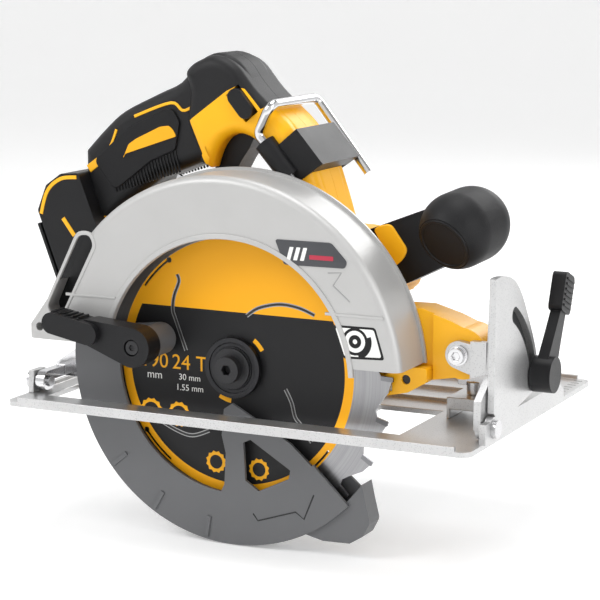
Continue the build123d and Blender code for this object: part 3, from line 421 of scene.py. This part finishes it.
def rowTree(onArc):
    tree = bpy.data.node_groups.new("stampOnArc" if onArc else "stampInRow", "GeometryNodeTree")
    face = tree.interface
    face.new_socket("Geometry", in_out="OUTPUT", socket_type="NodeSocketGeometry")
    wanted = [("Stamp", "NodeSocketObject"), ("Count", "NodeSocketInt"), ("Start", "NodeSocketVector"),
              ("Step", "NodeSocketVector"), ("Angle", "NodeSocketFloat"), ("Sweep", "NodeSocketFloat"),
              ("Radius", "NodeSocketFloat"), ("Finish", "NodeSocketMaterial")]
    for name, kind in wanted:
        face.new_socket(name, in_out="INPUT", socket_type=kind)
    new, link = tree.nodes.new, tree.links.new
    given, result = new("NodeGroupInput"), new("NodeGroupOutput")
    line = new("GeometryNodeMeshLine")
    link(given.outputs["Count"], line.inputs["Count"])
    info = new("GeometryNodeObjectInfo")
    link(given.outputs["Stamp"], info.inputs["Object"])
    stampOn = new("GeometryNodeInstanceOnPoints")
    link(info.outputs["Geometry"], stampOn.inputs["Instance"])
    if onArc:
        index = new("GeometryNodeInputIndex")
        turn = new("ShaderNodeMath"); turn.operation = "MULTIPLY_ADD"
        link(index.outputs[0], turn.inputs[0])
        link(given.outputs["Sweep"], turn.inputs[1])
        link(given.outputs["Angle"], turn.inputs[2])
        minus = new("ShaderNodeMath"); minus.operation = "MULTIPLY"; minus.inputs[1].default_value = -1.0
        link(turn.outputs[0], minus.inputs[0])
        spin = new("ShaderNodeCombineXYZ")
        link(minus.outputs[0], spin.inputs[1])
        out = new("ShaderNodeCombineXYZ")
        link(given.outputs["Radius"], out.inputs[0])
        rotate = new("ShaderNodeVectorRotate"); rotate.rotation_type = "EULER_XYZ"
        link(out.outputs[0], rotate.inputs["Vector"])
        link(spin.outputs[0], rotate.inputs["Rotation"])
        add = new("ShaderNodeVectorMath")
        link(rotate.outputs[0], add.inputs[0])
        link(given.outputs["Start"], add.inputs[1])
        move = new("GeometryNodeSetPosition")
        link(line.outputs[0], move.inputs["Geometry"])
        link(add.outputs[0], move.inputs["Position"])
        link(move.outputs[0], stampOn.inputs["Points"])
        link(spin.outputs[0], stampOn.inputs["Rotation"])
    else:
        link(given.outputs["Start"], line.inputs["Start Location"])
        link(given.outputs["Step"], line.inputs["Offset"])
        link(line.outputs[0], stampOn.inputs["Points"])
    real = new("GeometryNodeRealizeInstances")
    link(stampOn.outputs[0], real.inputs[0])
    paint = new("GeometryNodeSetMaterial")
    link(real.outputs[0], paint.inputs["Geometry"])
    link(given.outputs["Finish"], paint.inputs["Material"])
    link(paint.outputs[0], result.inputs[0])
    return tree


trees = {True: rowTree(True), False: rowTree(False)}


def stamp(size, rounding=0.0, tilt=0.0, kind="block"):
    bm = bmesh.new()
    if kind == "block":
        bmesh.ops.create_cube(bm, size=1.0)
        bmesh.ops.scale(bm, verts=bm.verts, vec=Vector(size) * mm)
    else:
        bmesh.ops.create_cone(bm, cap_ends=True, segments=kind, radius1=size[0] * mm, radius2=size[2] * mm,
            depth=size[1] * mm)
        bmesh.ops.rotate(bm, verts=bm.verts, matrix=Matrix.Rotation(math.radians(90), 3, "X"))
    if rounding:
        bmesh.ops.bevel(bm, geom=list(bm.edges), offset=rounding * mm, segments=2, profile=0.6,
            clamp_overlap=True, affect="EDGES")
    if tilt:
        bmesh.ops.rotate(bm, verts=bm.verts, matrix=Matrix.Rotation(math.radians(-tilt), 3, "Y"))
    mesh = bpy.data.meshes.new("stamp")
    bm.to_mesh(mesh)
    bm.free()
    mesh.shade_smooth()
    mesh.set_sharp_from_angle(angle=math.radians(35))
    obj = bpy.data.objects.new("stamp", mesh)
    scene.collection.objects.link(obj)
    return obj


def repeated(name, model, finish, body, count, start, step=(0, 0, 0), angle=None, sweep=0.0, radius=0.0):
    tree = trees[angle is not None]
    host = bpy.data.objects.new("host", bpy.data.meshes.new("host"))
    scene.collection.objects.link(host)
    modifier = host.modifiers.new("repeat", "NODES")
    modifier.node_group = tree
    values = {"Stamp": model, "Count": count, "Start": place(*start), "Step": Vector(step) * mm,
              "Angle": math.radians(angle or 0.0), "Sweep": math.radians(sweep), "Radius": radius * mm,
              "Finish": finishes[finish].material}
    for key, value in values.items():
        modifier[socketId(tree, key)] = value
    bpy.context.view_layer.update()
    graph = bpy.context.evaluated_depsgraph_get()
    mesh = bpy.data.meshes.new_from_object(host.evaluated_get(graph))
    bpy.data.objects.remove(host)
    bpy.data.objects.remove(model)
    obj = keepPiece(name, mesh, finish, body, weighted=False)
    return obj


print("stage 3: tools ready")

# camera first
shot = {"eye": (0.5255, -1.0379, 0.2621), "back": (0.4320, -0.8853, 0.1721), "lens": 124.4}
cameraData = bpy.data.cameras.new("camera")
cameraData.lens = shot["lens"]
cameraData.sensor_width = 36.0
camera = bpy.data.objects.new("camera", cameraData)
camera.location = shot["eye"]
camera.rotation_mode = "QUATERNION"
camera.rotation_quaternion = (-Vector(shot["back"])).to_track_quat("-Z", "Y")
scene.collection.objects.link(camera)
scene.camera = camera

# carried-over nodes that only need their finish, then nodes that are rounded over
innerLooks = {
    "stator_core": "stackedSteel", "stator_windings": "copperWire", "front_spindle_bearing": "steelBright",
    "small_bearings": "steelBright", "battery_terminals": "brassStrip", "control_module": "greenBoard",
    "switch_module": "blackShell", "trigger_pin": "steelBright", "guard_spring": "steelBright",
    "guard_retaining_ring": "steelBright", "spindle": "steelBright", "drive_gear": "steelBright",
    "rotor_shaft": "steelBright", "pinion": "steelBright", "rotor_core": "stackedSteel",
        "cooling_fan": "blackShell",
    "inner_flange": "turnedBright", "gear_case_screws": "steelBright", "guard_screws": "steelBright",
    "housing_screws": "blackSteel", "depth_stud": "steelBright", "bevel_stud": "steelBright",
    "bevel_pivot_pins": "steelBright", "carbide_tips": "carbide", "light_lens": "lensClear"}
for node, finish in innerLooks.items():
    nodes[node].material_slots[0].material = finishes[finish].material

dressed = {
    "upper_guard": ("castGuard", 0.7), "gear_case": ("castCase", 0.6), "gear_cover": ("castCase", 0.8),
    "motor_housing": ("yellowShell", 0.8), "motor_end_cap": ("blackShell", 0.5),
        "battery_foot": ("blackShell", 1.6),
    "front_handle_neck": ("blackShell", 1.8), "front_handle_grip": ("overmould", 1.6),
        "front_arm": ("yellowShell", 1.4),
    "light_module": ("yellowShell", 1.0), "hook_clamp": ("blackShell", 0.9), "saw_blade": ("bladePrint", 0.0),
    "outer_flange": ("turnedBlack", 0.5), "blade_bolt": ("blackSteel", 0.4), "lower_guard": ("paintGrey", 0.6),
    "guard_lever": ("blackShell", 0.9), "guard_lever_screw": ("blackSteel", 0.3),
        "trigger": ("blackShell", 1.2),
    "lock_off_button": ("blackShell", 0.9), "spindle_lock_button": ("blackShell", 0.6),
        "rafter_hook": ("chromeBar", 0.0),
    "depth_lever": ("blackShell", 0.8), "front_bracket": ("sheetSilver", 0.7),
        "depth_bracket": ("chromeBar", 0.5),
    "depth_pivot_bolt": ("chromeBar", 0.5), "bevel_lever": ("blackShell", 1.0), "shoe": ("sheetSilver", 0.5),
    "bevel_quadrant": ("sheetSilver", 0.6), "shoe_rivets": ("steelBright", 0.5),
        "rear_pivot_lug": ("sheetSilver", 0.5),
    "fence_guide": ("sheetSilver", 0.5), "fence_screw": ("steelBright", 0.5), "grip_pads": ("overmould", 0.8)}
for node, (finish, width) in dressed.items():
    dress(node, finish, width)
print("stage 4: nodes dressed")

# handle: two rounded halves that meet on the split plane, with slots for the trigger and the lock-off
handle = {"gripHalf": 18.0, "wideHalf": 22.0, "gripRound": 7.5, "wideRound": 6.5, "seam": 0.12}
loopTop = [(-112, 141), (-99, 154), (-86, 164.5), (-64, 175), (-49, 182), (-39, 193), (-26, 199), (-12, 194),
    (0, 179),
           (22, 160), (35, 141), (43, 118), (47, 104)]
loopLow = [(64, 104), (87, 77), (84, 70), (50, 66), (6, 52), (-30, 60), (-92, 60), (-100, 80), (-112, 108)]
gapCorners = [(-98, 98), (-90, 86), (-22, 104), (16, 106), (33, 116), (14, 138), (6, 147), (-1, 153),
    (-10, 155.5),
              (-19, 152), (-24, 144), (-27, 134), (-33, 138), (-62, 127), (-86, 110)]
wideCorners = [(-44, 188), (-39, 193), (-26, 199), (-12, 194), (0, 179), (22, 160), (35, 141), (43, 118),
    (47, 104), (64, 104),
               (87, 77), (84, 70), (50, 66), (6, 52), (-6, 60), (-8, 105), (16, 106), (33, 116), (14, 138),
                   (6, 147), (-1, 153),
               (-10, 155.5), (-19, 152), (-24, 144), (-27, 134), (-32, 137), (-39, 152), (-43, 160), (-40, 178)]


def cutBox(mesh, lo, hi, turn=0.0, centre=None):
    bm = bmesh.new()
    bmesh.ops.create_cube(bm, size=1.0)
    a, b = place(*lo), place(*hi)
    bmesh.ops.scale(bm, verts=bm.verts, vec=b - a)
    if turn:
        bmesh.ops.rotate(bm, verts=bm.verts, matrix=Matrix.Rotation(math.radians(-turn), 3, "Y"))
    bmesh.ops.translate(bm, verts=bm.verts, vec=(a + b) / 2)
    cutterMesh = bpy.data.meshes.new("cutter")
    bm.to_mesh(cutterMesh)
    bm.free()
    cutter = bpy.data.objects.new("cutter", cutterMesh)
    body = bpy.data.objects.new("toCut", mesh)
    scene.collection.objects.link(cutter)
    scene.collection.objects.link(body)
    modifier = body.modifiers.new("cut", "BOOLEAN")
    modifier.operation, modifier.object, modifier.solver = "DIFFERENCE", cutter, "EXACT"
    bpy.context.view_layer.update()
    made = bpy.data.meshes.new_from_object(body.evaluated_get(bpy.context.evaluated_depsgraph_get()))
    bpy.data.objects.remove(body)
    bpy.data.objects.remove(cutter)
    return made


def halved(mesh, side):
    near, far = splitY + side * handle["seam"], splitY - side * 60.0
    # a box takes the other half away, which caps the cut and keeps the finger opening
    return cutBox(mesh, (-200, min(near, far), 0), (200, max(near, far), 260))


def joined(*meshes):
    bm = bmesh.new()
    for mesh in meshes:
        bm.from_mesh(mesh)
    made = bpy.data.meshes.new("joined")
    bm.to_mesh(made)
    bm.free()
    made.shade_smooth()
    made.set_sharp_from_angle(angle=math.radians(34))
    return made


def shellHalf(side, node):
    half, wide = handle["gripHalf"], handle["wideHalf"]
    grip = roundedSlab([flowing(loopTop, 4) + loopLow, eased(gapCorners, 3.0)], splitY - half, splitY + half,
        handle["gripRound"], 4)
    front = roundedSlab([eased(wideCorners, 7.0)], splitY - wide, splitY + wide, handle["wideRound"], 4)
    parts = []
    for mesh in (grip, front):
        mesh = cutBox(mesh, (-40, splitY - 9.6, 124), (-2, splitY + 9.6, 168))
        mesh = cutBox(mesh, (-15.6, splitY - 32, 167.1), (3.6, splitY + 32, 176.9), -50.0)
        parts.append(halved(mesh, side))
    obj = keepPiece(node + "_finished", joined(*parts), "shellPaint", "saw_body")
    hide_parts(node)


shellHalf(-1, "handle_shell_right")
shellHalf(1, "handle_shell_left")
print("stage 5: handle shells made")

# raised trim on both sides of the handle
trim = {"height": 0.7, "sink": 1.2}
trimLines = [
    ("grip_tab", [(-108, 130.5), (-97.4, 138)], 4.6, 18.0),
        ("grip_line", [(-98, 137.5), (-92.5, 145.6), (-89, 154)], 1.5, 18.0),
    ("crest_line", [(-77, 162), (-53, 170.5), (-44, 166.5), (-28.5, 176)], 1.7, 18.0),
        ("crest_tick", [(-28.8, 176.5), (-33, 185)], 4.0, 18.0)]
for side in (-1, 1):
    word = "right" if side < 0 else "left"

    def onSide(name, outline, half, up, finish, rounding=0.4):
        a, b = splitY + side * (half - trim["sink"]), splitY + side * (half + up)
        mesh = roundedSlab([outline], min(a, b), max(a, b), rounding, 2)
        return keepPiece(name + "_" + word, mesh, finish, "saw_body")

    for name, line, width, half in trimLines:
        onSide(name, ribbon(flowing(line, 6) if len(line) > 2 else line, width), half, trim["height"],
            "yellowShell")
    tag = [(-83.9, 137.9), (-80.1, 146.2), (-75.1, 149.5), (-59.4, 156.9), (-53.7, 157.7), (-50.9, 155.4),
        (-48.9, 151.8), (-82.4, 140.5)]
    onSide("grip_tag", eased(tag, 1.2), 19.6, 0.5, "inkOrange", 0.2)
    foot = [(-134.5, 104), (-130.0, 117.5), (-121.0, 125.0), (-110.0, 126.5)]
    onSide("foot_stripe", ribbon(flowing(foot, 6), 2.2), 28.5, 0.5, "yellowShell")
    onSide("foot_tag", ribbon([(-119.6, 102.4), (-112.0, 92.5)], 2.6), 28.5, 0.5, "yellowShell")

ribs = {"count": 22, "pitch": 2.0, "size": (0.9, 1.4, 13.0)}
for side, word in ((-1, "right"), (1, "left")):
    repeated("grip_ribs_" + word, stamp(ribs["size"], 0.3, 14.0), "overmould", "saw_body",
        ribs["count"],
             (-91.0, splitY + side * 18.0, 124.5), (ribs["pitch"], 0, 0.62))
print("stage 6: handle trim made")

# blade print, noise slots and size marks
bladeFace = -0.6


def decal(name, loops, y0, y1, finish, body, rounding=0.0):
    return keepPiece(name, roundedSlab(loops, y0, y1, rounding, 1), finish, body, weighted=False)


noiseSlots = {
    "a": [(-36.4, 77.4), (-35.3, 73.3), (-38.5, 64.9), (-39.4, 57.2), (-37.9, 52.5), (-34.9, 44.5),
        (-31.1, 34.5)],
    "b": [(7.2, 57.3), (14.7, 62.2), (27.4, 65.2), (39.1, 64.1), (48.6, 60.8)],
    "c": [(31.0, 18.2), (34.7, 11.1), (36.9, 3.2), (40.6, -1.2), (47, -10)],
    "d": [(-51.2, -5.8), (-38.6, -11.6), (-27.7, -13.9), (-16.8, -10.0)]}
for name, line in noiseSlots.items():
    curve = flowing(line, 6)
    decal("noise_slot_rim_" + name, [ribbon(curve, 2.3)], bladeFace - 0.05, bladeFace + 0.2, "slotRim",
        "blade_set")
    decal("noise_slot_" + name, [ribbon(curve, 1.3)], bladeFace - 0.09, bladeFace + 0.2, "slotFill",
        "blade_set")


def lettering(name, words, size, x, z, y, finish, body, tilt=0.0):
    text = bpy.data.curves.new(name, "FONT")
    text.body = words
    text.size = size * mm
    text.extrude = 0.05 * mm
    text.align_x = "CENTER"
    obj = bpy.data.objects.new(name, text)
    scene.collection.objects.link(obj)
    bpy.context.view_layer.update()
    mesh = flatten(obj)
    mesh.transform(Matrix.Translation(place(x, y, z)) @ Matrix.Rotation(math.radians(-tilt), 4,
        "Y") @ Matrix.Rotation(math.radians(90), 4, "X"))
    tidyMesh(mesh)
    return keepPiece(name, mesh, finish, body, weighted=False)


marks = [("mark_diameter", "190", 12.0, -51.5, 23.5, "inkOrange"),
    ("mark_unit", "mm", 6.5, -51.5, 17.0, "inkWhite"),
         ("mark_teeth", "24 T", 12.0, -29.0, 23.5, "inkOrange"),
             ("mark_bore", "30 mm", 5.0, -29.0, 17.5, "inkWhite"),
         ("mark_kerf", "1.55 mm", 5.0, -29.0, 11.5, "inkWhite")]
for name, words, size, x, z, finish in marks:
    lettering(name, words, size, x, z, bladeFace - 0.05, finish, "blade_set")
for name, angle in (("mark_upper", 32.0), ("mark_lower", 240.0)):
    arc = arcPoints(21.0, angle, angle + 22.0, 6) + arcPoints(18.4, angle, angle + 22.0, 6)[::-1]
    decal(name, [arc], bladeFace - 0.05, bladeFace + 0.2, "inkOrange", "blade_set")
for name, x, z, r in (("ring_a", -54.0, -2.0, 6.5), ("ring_b", -36.0, -2.5, 6.5), ("ring_c", -12.5, -27.5, 5.6),
    ("ring_d", 14.5, -29.0, 5.6)):
    teeth = [polar(r + (0.9 if k % 2 else 0.0), k * 15.0, x, z) for k in range(24)]
    decal("mark_" + name, [teeth, arcPoints(r - 1.6, 0, 345, 23, x, z)], bladeFace - 0.05, bladeFace + 0.2,
        "inkOrange", "blade_set")
print("stage 7: blade marked")

# guard face: arch lip, ledges, badge, icon label, chute ribs; the chute's ribs and floor are black as painted
# shade in the pocket
guardFace = -22.0
lip = arcPoints(77.4, 4, 176, 60, 4.5) + arcPoints(74.4, 4, 176, 60, 4.5)[::-1]
decal("arch_lip", [lip], guardFace - 0.8, guardFace + 1.5, "castGuard", "saw_body", 0.5)
for name, a, b, z in (("ledge_rear", -96, -63.5, 64.3), ("ledge_front", 65, 98.5, 65.8)):
    decal(name, [[(a, z), (b, z), (b, z + 1.6), (a, z + 1.6)]], guardFace - 0.6, guardFace + 1.0, "castGuard",
        "saw_body", 0.4)
badge = eased([(35.6, 104.5), (68.5, 104.5), (77.7, 95.0), (76.5, 91.4), (41, 91.2)], 1.6)
decal("badge", [badge], guardFace - 0.6, guardFace + 0.6, "badgeGrey", "saw_body", 0.25)
decal("badge_bar", [eased([(56, 95), (70, 95), (70, 97.4), (56, 97.4)], 0.6)], guardFace - 0.75, guardFace,
    "badgeRed", "saw_body", 0.1)
for i in range(3):
    bar = [(42.5 + 4 * i, 94), (44.8 + 4 * i, 94), (46.8 + 4 * i, 101), (44.5 + 4 * i, 101)]
    decal("badge_mark_%d" % i, [eased(bar, 0.3)], guardFace - 0.75, guardFace, "inkWhite", "saw_body",
        0.1)
edge = [(69.5, 61), (94, 61.3), (99.4, 44.4), (75.6, 43.4)]
inner = [(71, 59.8), (93.2, 60.1), (97.7, 45.6), (76.4, 44.7)]
decal("label_edge", [eased(edge, 1.8)], guardFace - 0.12, guardFace + 0.5, "inkBlack", "saw_body",
    0.03)
decal("label_field", [eased(inner, 1.4)], guardFace - 0.2, guardFace + 0.5, "inkWhite", "saw_body",
    0.03)
for name, r0, r1, finish, up in (("label_ring", 7.4, 5.9, "inkBlack", 0.28),
    ("label_hub", 3.6, 1.3, "inkBlack", 0.28)):
    loops = [arcPoints(r0, 0, 345, 23, 82.5, 53.0), arcPoints(r1, 0, 345, 23, 82.5, 53.0)]
    decal(name, loops, guardFace - up, guardFace + 0.4, finish, "saw_body", 0.03)
swoosh = arcPoints(9.6, -75, 20, 16, 82.5, 53.0) + arcPoints(6.6, -75, 20, 16, 82.5, 53.0)[::-1]
decal("label_sweep", [swoosh], guardFace - 0.3, guardFace + 0.4, "inkBlack", "saw_body", 0.03)
# painted shade: the pocket's silver surfaces lie in shadow, so its ribs and floor are given the black shell
# finish
repeated("chute_ribs", stamp((16.0, 2.0, 1.6), 0.4, 62.0), "blackShell", "saw_body", 5,
    (-82.0, -13.0, 93.0), (-4.6, 0, -9.0))
chuteRim = eased([(-88, 101.5), (-79, 101.5), (-75, 94), (-98, 51), (-106, 49), (-111, 56)], 5.0)
chuteIn = eased([(-87, 99), (-80, 99.5), (-77.5, 94), (-98.5, 54), (-105, 52), (-108.5, 57)], 4.0)
floorOf = eased([(-89, 100), (-79, 101), (-76, 94), (-98, 52), (-106, 50), (-110, 57)], 4.0)
decal("chute_floor", [floorOf], -9.0, -8.0, "blackShell", "saw_body", 0.1)
decal("chute_lip", [chuteRim, chuteIn], guardFace - 0.5, guardFace + 1.5, "castGuard", "saw_body",
    0.4)
decal("guard_arrow", [ribbon([(66.6, 88.4), (74.3, 89.0), (69.6, 81.8), (79.2, 73.9)], 0.7)], guardFace - 0.25,
    guardFace + 0.4,
      "castCase", "saw_body", 0.05)
decal("lower_arrow", [ribbon([(14.0, -52.6), (17.0, -56.4), (40.2, -48.6), (45.4, -52.1), (51.3, -37.7)], 0.7)],
    -7.25, -6.6,
      "blackSteel", "lower_guard_set", 0.05)
panel = eased([(69.3, 105.3), (73.1, 107.6), (79.7, 109.0), (89.7, 95.4), (87.5, 90.2), (81.5, 84.7)], 3.0)
for side, word in ((-1, "right"), (1, "left")):
    a, b = splitY + side * 10.0, splitY + side * 12.0
    mesh = roundedSlab([panel], min(a, b), max(a, b), 0.8, 3)
    keepPiece("neck_panel_" + word, mesh, "yellowShell", "saw_body")
print("stage 8: guard dressed")

# rim on the front handle's flat end, and a dark strip of painted shade behind the bevel slot
knobEnd = {"middle": (113.7, 23.5, 100.8), "out": (-0.24, -0.85, -0.46), "radius": 14.4, "thick": 1.0,
           "around": 64, "section": 10}
bm = bmesh.new()
turn = Vector(knobEnd["out"]).to_track_quat("Z", "Y")
hoops = []
for i in range(knobEnd["around"]):
    a = math.tau * i / knobEnd["around"]
    hoop = []
    for k in range(knobEnd["section"]):
        b = math.tau * k / knobEnd["section"]
        reach = knobEnd["radius"] + knobEnd["thick"] * math.cos(b)
        point = turn @ Vector((reach * math.cos(a), reach * math.sin(a), knobEnd["thick"] * 0.7 * math.sin(b)))
        hoop.append(bm.verts.new(place(*knobEnd["middle"]) + point * mm))
    hoops.append(hoop)
for i in range(knobEnd["around"]):
    for k in range(knobEnd["section"]):
        bm.faces.new((hoops[i - 1][k - 1], hoops[i][k - 1], hoops[i][k], hoops[i - 1][k]))
bmesh.ops.recalc_face_normals(bm, faces=bm.faces)
rim = bpy.data.meshes.new("knob_rim")
bm.to_mesh(rim)
bm.free()
rim.shade_smooth()
keepPiece("knob_rim", rim, "blackShell", "saw_body")
# painted shade: a thin black strip between bracket and quadrant, so the bevel slot shows dark as if in shadow
slotShade = {"axis": (-4.0, 9.5), "inner": 57.5, "outer": 68.5, "from": 12, "to": 67, "x": (149.75, 150.1),
             "steps": 44}
bm = bmesh.new()
rows = []
for i in range(slotShade["steps"] + 1):
    degrees = slotShade["from"] + (slotShade["to"] - slotShade["from"]) * i / slotShade["steps"]
    inside, outside = polar(slotShade["inner"], degrees, *slotShade["axis"]), polar(slotShade["outer"], degrees,
        *slotShade["axis"])
    x0, x1 = slotShade["x"]
    rows.append([bm.verts.new(place(x, y, z)) for x,
        (y, z) in ((x0, inside), (x1, inside), (x1, outside), (x0, outside))])
for a, b in zip(rows, rows[1:]):
    for k in range(4):
        bm.faces.new((a[k - 1], b[k - 1], b[k], a[k]))
for end in (rows[0], rows[-1]):
    bm.faces.new(end)
bmesh.ops.recalc_face_normals(bm, faces=bm.faces)
shade = bpy.data.meshes.new("slot_backing")
bm.to_mesh(shade)
bm.free()
keepPiece("slot_backing", shade, "blackShell", "carriage", weighted=False)

# scales and grip ribs
repeated("lever_ribs", stamp((1.2, 10.0, 1.0), 0.3), "blackShell", "lower_guard_set", 6,
    (-94, -34.2, 58.2), (3.4, 0, -0.45))
repeated("shoe_ticks", stamp((0.35, 4.0, 0.12)), "inkBlack", "shoe_set", 26,
    (-120.0, -31.2, 3.03), (10.0, 0, 0))
repeated("shoe_ticks_front", stamp((5.0, 0.35, 0.12)), "inkBlack", "shoe_set", 17,
    (146.0, 62.0, 3.03), (0, 6.0, 0))

# floor that curves up behind, and lights
room = {"floorZ": cadLow.z - 0.0004, "flat": 3.4, "bendRadius": 1.6, "top": 5.0, "sides": 96}


def backdrop():
    line = [(room["flat"], 0.0)]
    for i in range(1, 17):
        a = math.radians(90.0 * i / 16)
        line.append((room["flat"] + room["bendRadius"] * math.sin(a), room["bendRadius"] * (1.0 - math.cos(a))))
    line.append((line[-1][0], room["top"]))
    bm = bmesh.new()
    turns = [math.tau * i / room["sides"] for i in range(room["sides"])]
    rows = [[bm.verts.new((r * math.cos(a), r * math.sin(a), room["floorZ"] + z)) for a in turns] for r,
        z in line]
    bm.faces.new(rows[0])
    for low, high in zip(rows, rows[1:]):
        for k in range(room["sides"]):
            bm.faces.new((low[k - 1], high[k - 1], high[k], low[k]))
    bmesh.ops.recalc_face_normals(bm, faces=bm.faces)
    made = bpy.data.meshes.new("floor")
    bm.to_mesh(made)
    bm.free()
    made.shade_smooth()
    return made


floor = bpy.data.objects.new("floor", backdrop())
scene.collection.objects.link(floor)
paper = Finish("floorPaper")
paperTone = paper.mix(paper.noise(3.0), (0.86, 0.86, 0.86), (0.88, 0.88, 0.88))
paper.give("Base Color", paperTone)
paper.give("Emission Color", paperTone)
paper.give("Emission Strength", 0.28)
paper.give("Roughness", 0.75)
floor.data.materials.append(paper.material)


def softLight(name, where, aim, size, power):
    data = bpy.data.lights.new(name, "AREA")
    data.shape = "RECTANGLE"
    data.size, data.size_y = size
    data.energy = power
    lamp = bpy.data.objects.new(name, data)
    lamp.location = where
    lamp.rotation_mode = "QUATERNION"
    lamp.rotation_quaternion = (Vector(aim) - Vector(where)).to_track_quat("-Z", "Y")
    scene.collection.objects.link(lamp)


softLight("keyLight", (-0.9, -1.2, 1.3), (0, 0, 0.08), (0.8, 0.8), 13.0)
softLight("topLight", (0.1, 0.1, 1.4), (0, 0, 0.08), (1.0, 0.7), 10.0)
softLight("sideLight", (1.4, -0.5, 0.6), (0, 0, 0.08), (0.4, 1.0), 6.0)
softLight("backLight", (0.3, 1.5, 0.9), (0, 0, 0.08), (1.0, 0.6), 8.0)
world = bpy.data.worlds.new("studio")
world.use_nodes = True
world.node_tree.nodes["Background"].inputs[0].default_value = (1, 1, 1, 1)
world.node_tree.nodes["Background"].inputs[1].default_value = 0.42
scene.world = world
scene.view_settings.view_transform = "Standard"

print("stage 9: done")
